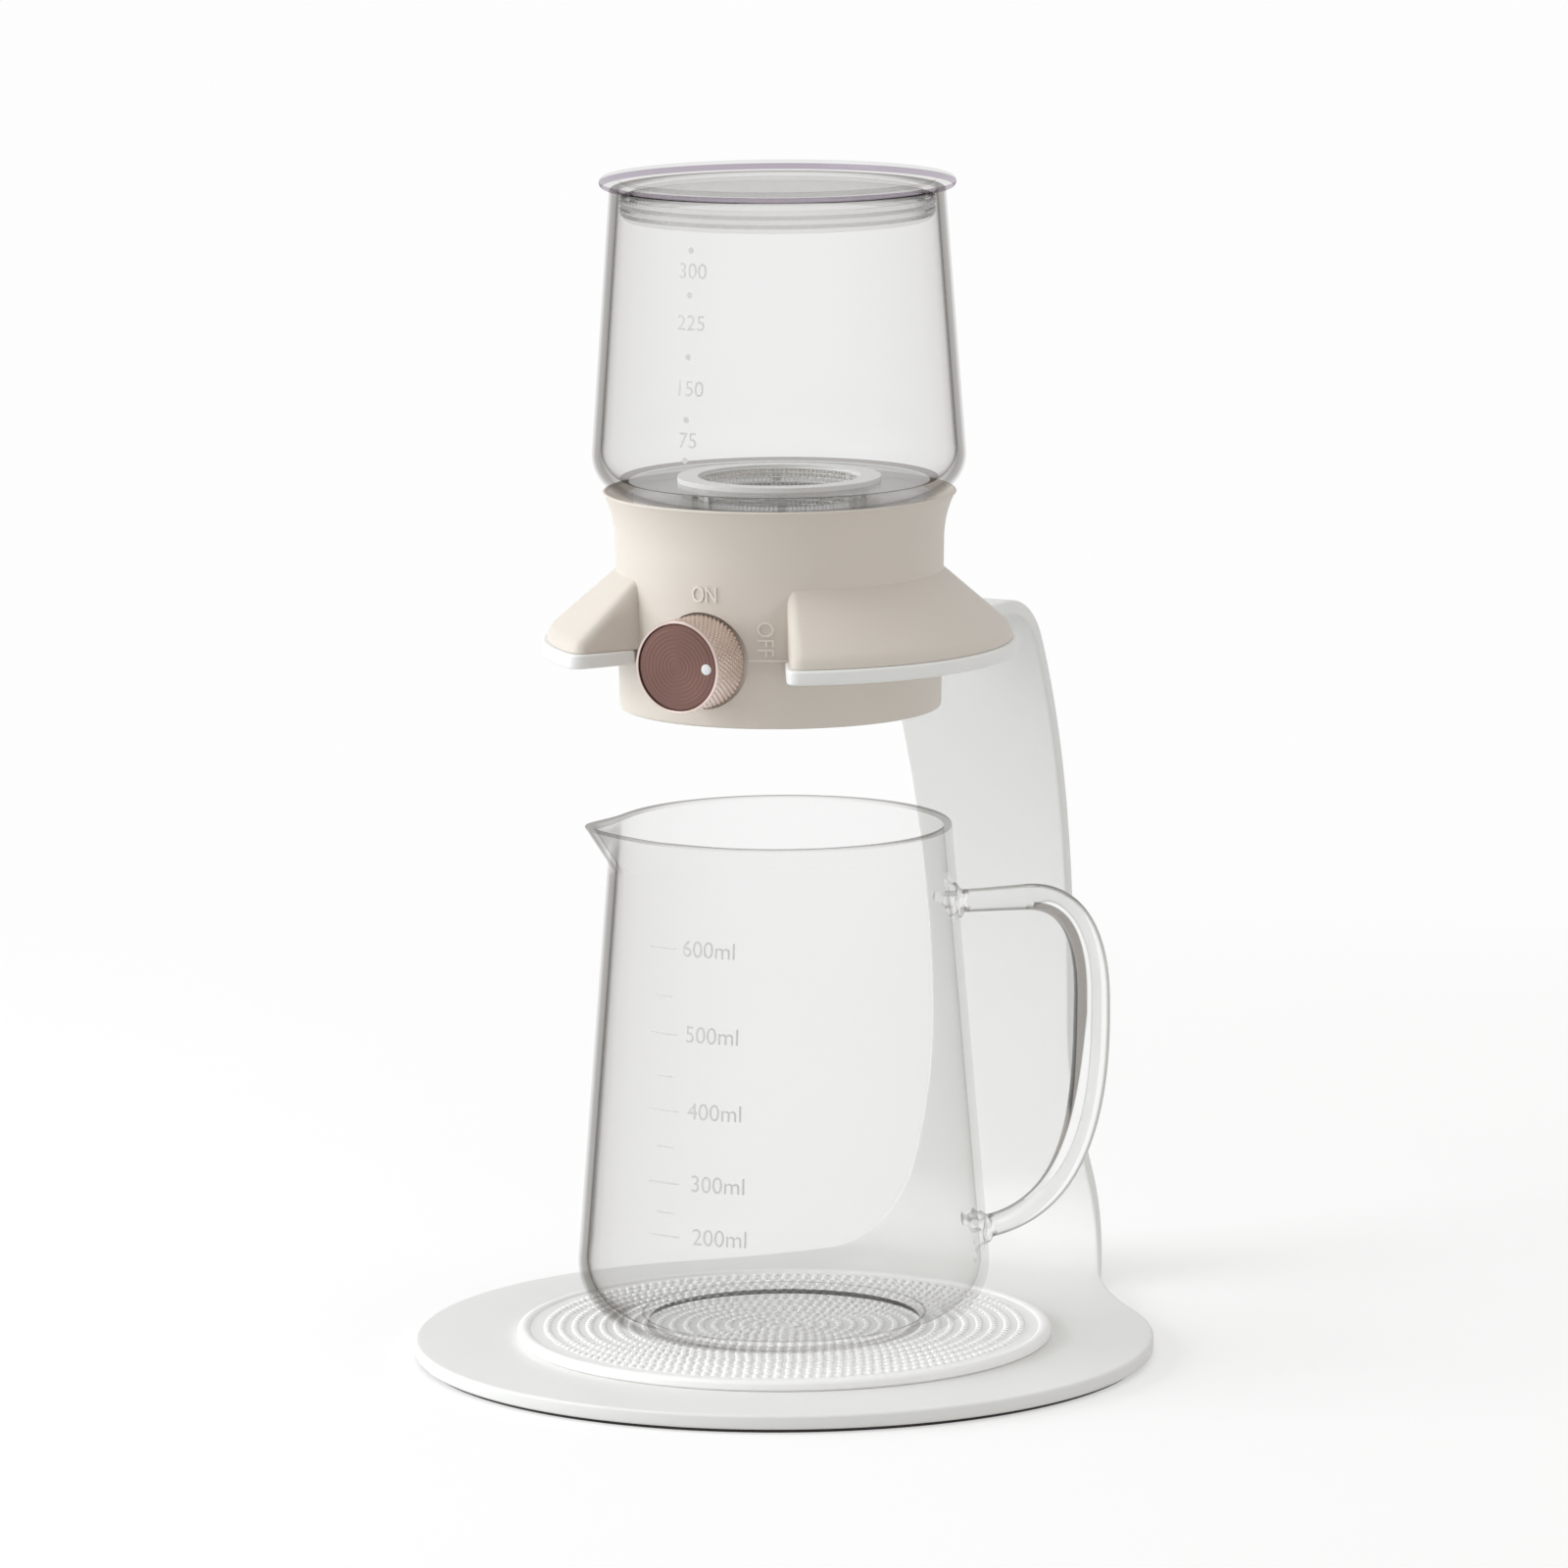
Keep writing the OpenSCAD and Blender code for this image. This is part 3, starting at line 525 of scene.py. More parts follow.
def tones_by(tree, value, shares, hue=GLASS_HUE):
    """A tint that follows a value, by stops of value and share of light."""
    ramp = add(tree, "ValToRGB")
    stops = ramp.color_ramp.elements
    stops.remove(stops[1])
    for i, (place, share) in enumerate(shares):
        stop = stops[0] if i == 0 else stops.new(place)
        stop.position = place
        stop.color = (*[max(0, 1 - (1 - share) * h) ** 2 for h in hue], 1)
    link(value, ramp.inputs["Fac"])
    return ramp.outputs["Color"]


def blend(tree, share, first, second):
    """A colour between two, each a socket or a grey level."""
    node = add(tree, "Mix")
    node.data_type = "RGBA"
    link(share, node.inputs[0])
    for socket, colour in zip(node.inputs[6:8], (first, second)):
        if isinstance(colour, (int, float)):
            socket.default_value = (colour, colour, colour, 1)
        else:
            link(colour, socket)
    return node.outputs[2]


def edge_tint(tree, shares, pale=None, hue=GLASS_HUE):
    """A tint by how far a face turns away, with paler stops on one side of a cup, so that painted shade
    darkens the other side.
    """
    turn = turn_from_eye(tree)
    tint = tones_by(tree, turn, shares, hue)
    if not pale:
        return tint
    side = add(tree, "VectorMath")
    side.operation = "DOT_PRODUCT"
    side.inputs[1].default_value = DARK_SIDE
    link(own_place(tree), side.inputs[0])
    dark = remap(tree, side.outputs["Value"], 0, 1, DARK_START, DARK_END)
    return blend(tree, dark, tones_by(tree, turn, pale, hue), tint)


def streak_tint(tree, shares):
    """A painted dark streak: a tint by how far a face turns away, narrower towards the foot of the handle.
    """
    height = add(tree, "SeparateXYZ")
    link(own_place(tree), height.inputs["Vector"])
    back = remap(tree, height.outputs["Z"], STREAK_NARROW, 0, MM * STREAK_LOW, MM * STREAK_WIDE_Z)
    return tones_by(tree, sums(tree, "ADD", turn_from_eye(tree), back), shares)


def wavy(tree, shader, rough):
    """Gives a clear face uneven gloss and low ripples."""
    link(remap(tree, noise(tree, 90, 3), *rough), shader.inputs["Roughness"])
    relief(tree, shader, noise(tree, 45, 1), RIPPLE)


def wall(name, shares, pale=None, hue=GLASS_HUE, gloss=WALL_GLOSS):
    """A thin clear wall that light passes straight, tinted by how far it turns away so that its edges are
    painted dark, with some gloss.
    """
    material, tree = blank(name)
    tree.nodes.remove(tree.nodes["Principled BSDF"])
    shade = rays(tree, "Is Shadow Ray")
    straight = add(tree, "BsdfTransparent")
    link(blend(tree, shade, edge_tint(tree, shares, pale, hue), 1), straight.inputs["Color"])
    mirror = add(tree, "BsdfGlossy")
    wavy(tree, mirror, WALL_ROUGH)
    share = remap(tree, sums(tree, "POWER", turn_from_eye(tree), GLOSS_POWER), *gloss)
    share = sums(tree, "MULTIPLY", share, sums(tree, "SUBTRACT", 1, shade))
    show(tree, mixed(tree, share, straight.outputs["BSDF"], mirror.outputs["BSDF"]))
    return material


def solid(name, edge=None, ior=GLASS_IOR, rough=ROD_ROUGH, through=0):
    """A thick clear piece that bends light, with a tint made by edge and a share that comes straight."""
    material, tree = blank(name)
    shader = tree.nodes["Principled BSDF"]
    shader.inputs["Base Color"].default_value = THICK_TINT
    if edge:
        link(edge(tree), shader.inputs["Base Color"])
    shader.inputs["Transmission Weight"].default_value = 1
    shader.inputs["IOR"].default_value = ior
    wavy(tree, shader, rough)
    straight = add(tree, "BsdfTransparent")
    straight.inputs["Color"].default_value = STRAIGHT_TINT
    share = sums(tree, "MAXIMUM", rays(tree, "Is Shadow Ray"), through)
    show(tree, mixed(tree, share, shader.outputs["BSDF"], straight.outputs["BSDF"]))
    return material


stand_paint = opaque("stand_paint", srgb(236, 236, 234), 0.012, (0.38, 0.46), 2200, 0.00002)
pad_rubber = opaque("pad_rubber", srgb(58, 52, 50), 0.2, (0.6, 0.75), 3000, 0.00005)
mat_silicone = opaque("mat_silicone", srgb(249, 249, 248), 0.015, (0.45, 0.6), 1800, 0.00002,
                      Subsurface_Weight=0.15, Subsurface_Radius=(0.002, 0.002, 0.002))
housing_plastic = opaque("housing_plastic", srgb(214, 206, 196), 0.015, (0.42, 0.5), 2600, 0.00003,
                         Specular_IOR_Level=0.8)
# The raised words and line are the housing's own plastic, made lighter as a painted highlight on their lit
# edges
word_plastic_painted_highlight = opaque("word_plastic_painted_highlight", srgb(230, 225, 217), 0.015, (0.42, 0.5), 2600, 0.00003)
inner_plastic = opaque("inner_plastic", srgb(236, 234, 230), 0.03, (0.4, 0.55), 1800, 0.00003)
seal_silicone = opaque("seal_silicone", srgb(226, 224, 222), 0.03, (0.4, 0.55), 1500, 0.00003)
filter_plastic = opaque("filter_plastic", srgb(228, 227, 225), 0.03, (0.35, 0.45), 1800, 0.00003)
o_ring_rubber = opaque("o_ring_rubber", srgb(40, 38, 38), 0.2, (0.5, 0.7), 3000, 0.00004)
steel = opaque("steel", srgb(190, 190, 192), 0.1, (0.2, 0.35), 3500, 0.00002, Metallic=1.0)
knob_metal = opaque("knob_metal", srgb(242, 224, 216), 0.12, (0.28, 0.4), 4000, 0.00002, Metallic=1.0)
face_metal = opaque("face_metal", srgb(131, 99, 91), 0.1, (0.3, 0.42), 4000, 0.00001, Metallic=0.6)
dot_enamel = opaque("dot_enamel", srgb(226, 227, 228), 0.02, (0.25, 0.35), 3000, 0.00001)
mark_print = opaque("mark_print", srgb(210, 209, 208), 0.05, (0.5, 0.6), 4000, 0.00001)
mesh_steel = opaque("mesh_steel", srgb(242, 242, 241), 0.05, (0.35, 0.5), 3500, 0.00002, Metallic=0.2)
tank_outer = wall("tank_outer", DARK_OUTER)
tank_inner = wall("tank_inner", DARK_INNER)
# The jug's edges are tinted darker on the DARK_SIDE than on the other: painted shade
jug_outer = wall("jug_outer", DARK_OUTER, PALE_OUTER)
jug_inner = wall("jug_inner", DARK_INNER, PALE_INNER)
glass_rim = wall("glass_rim", RIM_EDGE)
glass_floor = wall("glass_floor", FLAT)
glass_line = wall("glass_line", LINE)
tank_line = wall("tank_line", FLOOR_LINE)
tank_floor = wall("tank_floor", FLAT, gloss=FLOOR_GLOSS)
glass_rod = solid("glass_rod", lambda tree: edge_tint(tree, ROD_EDGE))
glass_root = solid("glass_root", lambda tree: edge_tint(tree, ROD_EDGE), through=ROOT_THROUGH)
glass_painted_streak = solid("glass_painted_streak", lambda tree: streak_tint(tree, STREAK))
lid_plastic = wall("lid_plastic", LID_FLAT)
lid_edge = wall("lid_edge", LID_EDGE, hue=LID_HUE)
soft_clear = solid("soft_clear", ior=SOFT_IOR, rough=WALL_ROUGH)


# Stand: one sheet, drawn flat and then bent


def on_sheet(x, along, depth):
    """Place of a point of the flat sheet, at a depth behind its inner face."""
    if along <= BEND_START:
        return (x, along, BASE_TOP - depth)
    if along <= BEND_END:
        turn = (along - BEND_START) / BASE_BEND_R
        reach = BASE_BEND_R + depth
        return (x, LOW_BEND_Y + reach * sin(turn), LOW_BEND_Z - reach * cos(turn))
    if along <= LEAN_START:
        return (x, SPINE_Y + depth, LOW_BEND_Z + along - BEND_END)
    if along <= ARM_BEND_START:
        turn = (along - LEAN_START) / LEAN_R
        reach = LEAN_R + depth
        return (x, LEAN_Y + reach * cos(turn), LEAN_Z + reach * sin(turn))
    if along <= ARM_START:
        turn = LEAN_END + (along - ARM_BEND_START) / ARM_BEND_R
        reach = ARM_BEND_R + depth
        return (x, HIGH_BEND_Y + reach * cos(turn), HIGH_BEND_Z + reach * sin(turn))
    return (x, FORK_ALONG - along, FORK_LOW + depth)


def strip_half(along):
    """Half width of the upright and the arm."""
    if along < LEAN_START:
        if along > FLARE_Y:
            return SPINE_W / 2
        return FLARE_X - sqrt(FLARE_R**2 - (FLARE_Y - along) ** 2)
    share = smooth((along - LEAN_START) / (ARM_BEND_START - LEAN_START))
    return SPINE_W / 2 + (ARM_W - SPINE_W) / 2 * share


def strip_rows():
    """Lengths along the sheet with a row of points, close together in the bends."""
    first = FLARE_Y * BASE_R / (BASE_R + FLARE_R)
    stops = [(first, 0), (BEND_START, 10), (BEND_END, 24), (LEAN_START, 8), (ARM_BEND_START, 24),
             (ARM_START, 20), (FORK_ALONG - FILLET_Y, 4)]
    rows = [first]
    for (start, _), (end, steps) in zip(stops, stops[1:]):
        rows += spread(start, end, steps)[1:]
    return rows


def sheet_outline():
    """Outline of the flat sheet, counterclockwise from its front."""
    flare = degrees(atan2(FLARE_Y, FLARE_X))
    fillet = degrees(atan2(FILLET_Y, FILLET_X))
    end = FORK_GAP / 2 - 90
    outer_turn = degrees(asin(FORK_END_R / (FORK_R - FORK_END_R)))
    inner_turn = degrees(asin(FORK_TIP_R / (FORK_HOLE_R + FORK_TIP_R)))
    outer_corner = arc((0, 0), FORK_R - FORK_END_R, end + outer_turn, end + outer_turn, 1)[0]
    inner_corner = arc((0, 0), FORK_HOLE_R + FORK_TIP_R, end + inner_turn, end + inner_turn, 1)[0]
    fork = (
        arc((FILLET_X, FILLET_Y), FORK_FILLET, 180, 180 + fillet, 16)
        + arc((0, 0), FORK_R, fillet, end + outer_turn, 60)[1:]
        + arc(outer_corner, FORK_END_R, end + outer_turn, end - 90, 10)[1:]
        + arc(inner_corner, FORK_TIP_R, end - 90, end + inner_turn - 180, 10)
        + arc((0, 0), FORK_HOLE_R, end + inner_turn, 90, 75)[1:]
    )
    half = arc((0, 0), BASE_R, -90, flare, 90)
    half += [(strip_half(a), a) for a in strip_rows()[1:-1]]
    half += [(x, FORK_ALONG - y) for x, y in fork]
    return half + [(-x, along) for x, along in half[-2:0:-1]]


def inset(outline, by):
    """A counterclockwise outline moved inwards."""
    inner = []
    for i, (x, y) in enumerate(outline):
        before = outline[i - 1]
        after = outline[(i + 1) % len(outline)]
        dx = after[0] - before[0]
        dy = after[1] - before[1]
        size = hypot(dx, dy)
        inner.append((x - by * dy / size, y + by * dx / size))
    return inner


def sheet_shape():
    """The bent sheet with rounded edges."""
    outline = sheet_outline()
    edge = [(SHEET_ROUND * (1 - sin(t)), SHEET_ROUND * (1 - cos(t))) for t in spread(0, pi / 2, 5)]
    edge = [(2 * SHEET_ROUND, 0)] + edge
    edge += [(by, SHEET_T - depth) for by, depth in reversed(edge)]
    loops = [[on_sheet(x, a, depth) for x, a in inset(outline, by)] for by, depth in edge]
    points, faces = skin(loops[::-1])
    border = inset(outline, edge[0][0])
    count = len(border)
    inside = []
    for along in strip_rows()[8:-2]:
        half = strip_half(along) - 4 * SHEET_ROUND
        inside += [(x, along) for x in spread(-half, half, 8)]
    flat = [Vector(p) for p in border + inside]
    found = delaunay_2d_cdt(flat, [], [list(range(count))], 1, 1e-4)
    for front in (True, False):
        start = len(points) - count if front else 0
        depth = 0 if front else SHEET_T
        number = []
        for place, sources in zip(found[0], found[3]):
            rim = [s for s in sources if s < count]
            number.append(start + rim[0] if rim else len(points))
            if not rim:
                points.append(on_sheet(*place, depth))
        for corners in found[2]:
            a, b, c = [found[0][i] for i in corners]
            upward = (b - a).cross(c - a) > 0
            faces.append([number[i] for i in (corners if upward == front else corners[::-1])])
    return points, faces


add_piece("stand_sheet", sheet_shape(), stand_paint, "stand", ["stand"], 60)


# Mat with rings of nubs


def mat_shape():
    """The mat's disc with a raised bead round it, and its nubs."""
    low = BASE_TOP + LIFT
    inner = MAT_R - MAT_BORDER
    half = MAT_BORDER / 2
    bead_low = MAT_TOP - MAT_BEAD_SINK
    bead_h = MAT_BEAD + MAT_BEAD_SINK
    bead = [(MAT_R - half + half * cos(t), bead_low + bead_h * sin(t)) for t in spread(0, pi, 20)]
    profile = [(0, low), (MAT_R - MAT_EDGE, low), (MAT_R, low + MAT_EDGE)] + bead[:-3]
    plate = revolve(profile + [(inner, MAT_TOP), (0, MAT_TOP)], 240)
    dome = [(1, -0.1), (1, 0.15), (0.86, 0.4), (0.5, 0.6), (0, NUB_H)]
    nub = revolve([(share * NUB_R, z) for share, z in dome], 8)
    nubs = []
    ring = 0
    while (ring + 1) * NUB_RING_PITCH < inner - NUB_R:
        ring += 1
        r = ring * NUB_RING_PITCH
        count = round(2 * pi * r / NUB_PITCH)
        for k in range(count):
            a = 2 * pi * (k + ring % 2 / 2) / count
            x = r * cos(a)
            y = r * sin(a)
            nubs.append(moved(nub, lambda u, v, w: (x + u, y + v, MAT_TOP + w)))
    return join(plate, *nubs)


add_piece("mat_nubs", mat_shape(), mat_silicone, "mat", ["drip_mat"])


# Jug with a drawn spout and a fused handle


def cup_wall(rim_r, rim_z, slope, corner_r, low, thick, floor_t):
    """Outer foot, rounded rim and inner floor corner of a cup, as radius and height."""
    lean = radians(slope)
    bead = thick / 2
    corner_z = low + corner_r
    corner_x = rim_r + (rim_z - bead - corner_z) * tan(lean) - corner_r / cos(lean)
    inner_r = corner_r - thick
    inner_z = low + floor_t + inner_r
    drop = rim_z - bead - inner_z
    inner_x = rim_r - thick / cos(lean) + drop * tan(lean) - inner_r / cos(lean)
    rim = arc((rim_r - bead, rim_z - bead), bead, slope, 180 + slope, 14)
    outer = arc((corner_x, corner_z), corner_r, -90, slope, 30)
    inner = arc((inner_x, inner_z), inner_r, slope, -90, 30)
    return outer, rim, inner


def wall_rows(start, end, steps):
    """Points between two places on a wall, without those two."""
    return list(zip(spread(start[0], end[0], steps), spread(start[1], end[1], steps)))[1:-1]


def drawn_spout(r, z, angle):
    """Radius of the jug's wall, drawn out to a lip opposite the handle."""
    share = (z - JUG_RIM_Z + SPOUT_DEPTH) / SPOUT_DEPTH
    if share <= 0:
        return r
    share = min(1, share)
    turn = degrees(angle) - HANDLE_TURN - 180
    turn = abs((turn + 180) % 360 - 180)
    soft = SPOUT_SOFT * share
    reach = degrees(acos(JUG_RIM_R / (JUG_RIM_R + SPOUT_REACH * share))) + soft
    turn = sqrt(turn * turn + soft * soft)
    return r / cos(radians(max(0, reach - turn)))


def spout_rise(x, y, z):
    """How far a point of the jug is raised towards the lip."""
    return SPOUT_RISE * max(0, hypot(x, y) - jug_face_r(z)) / SPOUT_REACH


def risen_spout(x, y, z):
    """A point of the jug's wall, raised at the lip."""
    return (x, y, z + spout_rise(x, y, z))


def jug_shape():
    """The blown jug, with a shallow punt below."""
    outer, rim, inner = cup_wall(
        JUG_RIM_R, JUG_RIM_Z, JUG_SLOPE, JUG_CORNER_R, JUG_LOW + LIFT, JUG_WALL, JUG_FLOOR
    )
    low = JUG_LOW + LIFT
    profile = [(0, low + JUG_PUNT), (JUG_PUNT_R - 0.5, low + JUG_PUNT), (JUG_PUNT_R, low + 0.1)]
    profile += [(JUG_PUNT_R + 0.1, low)] + outer
    profile += wall_rows(outer[-1], rim[0], 60) + rim + wall_rows(rim[-1], inner[0], 60) + inner
    profile += [(0, inner[-1][1])]
    return moved(revolve(profile, 360, shape=drawn_spout), risen_spout)


def jug_face_r(z):
    """Radius of the jug's outer wall at a height."""
    return JUG_RIM_R + (JUG_RIM_Z - JUG_WALL / 2 - z) * tan(radians(JUG_SLOPE))


def curve_point(p, t):
    """Point on a cubic curve with four control points."""
    s = 1 - t
    a, b, c, d = s**3, 3 * t * s * s, 3 * t * t * s, t**3
    return [a * p[0][i] + b * p[1][i] + c * p[2][i] + d * p[3][i] for i in (0, 1)]


def handle_path():
    """Middle line of the handle in its own plane, from wall to wall."""
    top = JUG_LOW + HANDLE_TOP
    low = JUG_LOW + HANDLE_LOW
    bend_r = GRIP_R - UPPER_BEND_W
    mid = top - UPPER_BEND_H
    start = jug_face_r(top) - JUG_WALL / 2
    upper = [(bend_r, top), (bend_r + UPPER_PULL * UPPER_BEND_W, top),
             (GRIP_R, mid + UPPER_PULL * UPPER_BEND_H), (GRIP_R, mid)]
    lower = [(GRIP_R, mid), (GRIP_R, mid - SWEEP_PULL),
             (GRIP_R - SWEEP_LEAN, low + SWEEP_RISE), (JUG_RIM_R + ROOT_COVER, low)]
    path = [[r, top] for r in spread(start, bend_r, 40)]
    path += [curve_point(upper, t) for t in spread(0, 1, 40)[1:]]
    path += [curve_point(lower, t) for t in spread(0, 1, 160)[1:]]
    return [p for i, p in enumerate(path) if i < 40 or p[0] > jug_face_r(p[1]) - JUG_WALL / 2]


def root_flare(root, u):
    """How far the rod spreads in lobes where it melted into the wall."""
    short = max(0, ROOT_FLARE_R - max(0, root + ROOT_SINK))
    lobes = 1 + ROOT_LOBES * (cos(3 * u + 0.6) + sin(5 * u))
    bead = ROOT_BEAD * exp(-(((root - ROOT_BEAD_AT) / 0.8) ** 2))
    return lobes * (bead + ROOT_FLARE_R - sqrt(ROOT_FLARE_R**2 - short**2))


def handle_shape():
    """The glass rod, thicker at the grip and flared where it is fused on."""
    path = handle_path()
    last = len(path) - 1
    lengths = [0]
    for a, b in zip(path, path[1:]):
        lengths.append(lengths[-1] + hypot(b[0] - a[0], b[1] - a[1]))

    def ring_at(i):
        a = path[max(i - 1, 0)]
        b = path[min(i + 1, last)]
        size = hypot(b[0] - a[0], b[1] - a[1])
        along = ((b[0] - a[0]) / size, (b[1] - a[1]) / size)
        share = sin(pi * lengths[i] / lengths[-1]) ** 2
        root = min(lengths[i], lengths[-1] - lengths[i]) - JUG_WALL / 2
        half_t = (ROOT_T + (GRIP_T - ROOT_T) * share) / 2
        half_w = (ROOT_W + (GRIP_W - ROOT_W) * share) / 2
        ring = []
        for u in spread(0, 2 * pi, 48)[:-1]:
            flare = root_flare(root, u)
            rise = (half_t + flare) * cos(u)
            r = path[i][0] - along[1] * rise
            z = path[i][1] + along[0] * rise
            across = (half_w + flare) * sin(u)
            turn = radians(HANDLE_TURN)
            ring.append((r * cos(turn) - across * sin(turn), r * sin(turn) + across * cos(turn), z))
        return ring

    return tube([ring_at(i) for i in range(len(path))])


# Which faces take which finish, among them painted dark lines, rims and streaks on the glass: heights and
# reaches in millimetres, and shares of looking out or up
HANDLE_HALF_TURN = 60
FACE_PLAY = 0.05
RIM_BAND = 1.1
RING_HALF = 0.6
PUNT_OUT = -0.5
FLAT_UP = 0.95
LEVEL_UP = 0.985
LINE_UP = 0.9
INNER_OUT = -0.1
INNER_UP = 0.3
LID_EDGE_OUT = 0.3
LID_EDGE_DROP = 0.9


def on_handle(face):
    """Whether a face of the jug belongs to its handle."""
    turn = degrees(atan2(face.y, face.x)) - HANDLE_TURN
    near = abs((turn + 180) % 360 - 180) < HANDLE_HALF_TURN
    return near and face.r > jug_face_r(face.z) + FACE_PLAY


def on_streak(face):
    """Whether a face of the handle lies inside its bend, along the grip, where the dark streak is painted.
    """
    turn = radians(HANDLE_TURN)
    r = face.x * cos(turn) + face.y * sin(turn)
    gaps = [hypot(p[0] - r, p[1] - face.z) for p in HANDLE_LINE[1:-1]]
    i = 1 + gaps.index(min(gaps))
    before, place, after = HANDLE_LINE[i - 1 : i + 2]
    rise = (face.z - place[1]) * (after[0] - before[0]) - (r - place[0]) * (after[1] - before[1])
    return i > STREAK_START and face.z > STREAK_LOW and rise < 0


def on_foot_line(face):
    """Whether a face lies on the wall of the punt or on the ring above it, where a dark line is painted.
    """
    if face.z < JUG_LOW + JUG_PUNT:
        return face.out < PUNT_OUT
    return face.up > LINE_UP and abs(face.r - JUG_RING_R) < RING_HALF


def looks_in(face):
    """Whether a face belongs to the inside of a cup."""
    return face.out < INNER_OUT or face.up > INNER_UP


HANDLE_LINE = handle_path()
jug = add_piece("jug", combined(jug_shape(), handle_shape(), "UNION"), jug_outer, "jug",
                ["jug_glass", "jug_handle"], 50)
give_finishes(
    jug,
    (glass_painted_streak, lambda f: on_handle(f) and on_streak(f)),
    (glass_root, lambda f: on_handle(f) and f.r < jug_face_r(f.z) + ROOT_FLARE_R),
    (glass_rod, on_handle),
    (glass_line, on_foot_line),
    (glass_rim, lambda f: f.z - spout_rise(f.x, f.y, f.z) > JUG_RIM_Z - RIM_BAND),
    (glass_floor, lambda f: abs(f.up) > FLAT_UP),
    (jug_inner, looks_in),
)


# Tank and lid


def tank_shape():
    """The tank, open at its floor."""
    outer, rim, inner = cup_wall(
        TANK_RIM_R, TANK_RIM_Z, TANK_SLOPE, TANK_CORNER_R, TANK_LOW + LIFT, TANK_WALL, TANK_FLOOR
    )
    floor_top = inner[-1][1]
    edge_r = TANK_HOLE_R + TANK_HOLE_EDGE
    profile = [(TANK_HOLE_R, TANK_LOW + TANK_HOLE_EDGE), (edge_r, TANK_LOW + LIFT)]
    profile += [(outer[0][0] - 0.8, TANK_LOW + LIFT)] + outer
    profile += wall_rows(outer[-1], rim[0], 12) + rim + wall_rows(rim[-1], inner[0], 12) + inner
    profile += [(inner[-1][0] - 1, floor_top), (edge_r, floor_top)]
    profile += [(TANK_HOLE_R, floor_top - TANK_HOLE_EDGE)]
    return revolve(profile, 240, closed=True)


def lid_shape():
    """The lid with its round rim, hollow top and plug."""
    plate_low = LID_TOP - LID_HOLLOW - LID_PLATE_T
    inner = LID_PLUG_R - LID_PLUG_WALL
    border = LID_R - LID_BORDER
    under = TANK_RIM_Z + LIFT
    bead_z = (under + LID_TOP) / 2
    bead_r = (LID_TOP - under) / 2
    profile = [(0, plate_low), (inner - 2.4, plate_low)]
    profile += arc((inner - 1.2, plate_low - 1.2), 1.2, 90, 0, 6)
    end_r = LID_PLUG_WALL / 2
    profile += arc((LID_PLUG_R - end_r, LID_PLUG_LOW + end_r), end_r, 180, 360, 12)
    profile += [(LID_PLUG_R, under - 0.8)] + arc((LID_PLUG_R + 0.8, under - 0.8), 0.8, 180, 90, 5)
    profile += [(LID_R - bead_r - 0.4, under)]
    profile += arc((LID_R - bead_r, bead_z), bead_r, -90, 90, 16)
    profile += [(LID_R - bead_r - 0.4, LID_TOP), (border + 0.6, LID_TOP), (border, LID_TOP - 0.12)]
    profile += [(border - LID_HOLLOW + 0.5, LID_TOP - LID_HOLLOW + 0.12)]
    profile += [(r, LID_TOP - LID_HOLLOW) for r in (border - LID_HOLLOW - 0.3, border - LID_HOLLOW - 2, 0)]
    return revolve(profile, 240)


tank = add_piece("tank", tank_shape(), tank_outer, "tank", ["tank_glass"])
give_finishes(
    # The tank's rim and inner floor corner take painted dark lines
    tank,
    (glass_rim, lambda f: f.z > TANK_RIM_Z - RIM_BAND),
    (tank_floor, lambda f: abs(f.up) > LEVEL_UP),
    (tank_line, lambda f: f.up > LINE_UP),
    (tank_inner, looks_in),
)
lid = add_piece("lid", lid_shape(), lid_plastic, "lid", ["lid_cover"])
give_finishes(
    lid,
    (lid_edge, lambda f: f.out > LID_EDGE_OUT and TANK_RIM_Z < f.z < LID_TOP - LID_EDGE_DROP),
)


# Housing with collar, neck, foot and skirt


def neck_face_r(z):
    """Radius of the housing's outer wall below the collar."""
    return FOOT_R + (NECK_R - FOOT_R) * (z - HOUSING_LOW) / (COLLAR_Z - COLLAR_FLARE_H - HOUSING_LOW)


def housing_shell():
    """The housing's turned body."""
    flare = COLLAR_R - NECK_R
    flare_r = (COLLAR_FLARE_H**2 + flare**2) / (2 * flare)
    turn = degrees(asin(COLLAR_FLARE_H / flare_r))
    flare_z = COLLAR_Z - COLLAR_FLARE_H
    lip = COLLAR_EDGE / 2
    profile = [(BORE_R, HOUSING_LOW + 0.4), (BORE_R + 0.4, HOUSING_LOW)]
    profile += arc((FOOT_R - FOOT_EDGE_R, HOUSING_LOW + FOOT_EDGE_R), FOOT_EDGE_R, -90, 0, 8)
    profile += [(neck_face_r(HOUSING_LOW + 2), HOUSING_LOW + 2), (neck_face_r(flare_z - 2), flare_z - 2)]
    profile += arc((NECK_R + flare_r, flare_z), flare_r, 180, 180 - turn, 24)[:-1]
    profile += arc((COLLAR_R - lip, COLLAR_Z - lip), lip, 0, 180, 10)
    profile += [(BORE_R + 0.4, DECK_TOP + 0.2), (BORE_R - 0.4, DECK_TOP), (FUNNEL_R, DECK_TOP)]
    profile += [(FUNNEL_R, DECK_LOW), (BORE_R, DECK_LOW)]
    return revolve(profile, 240, closed=True)


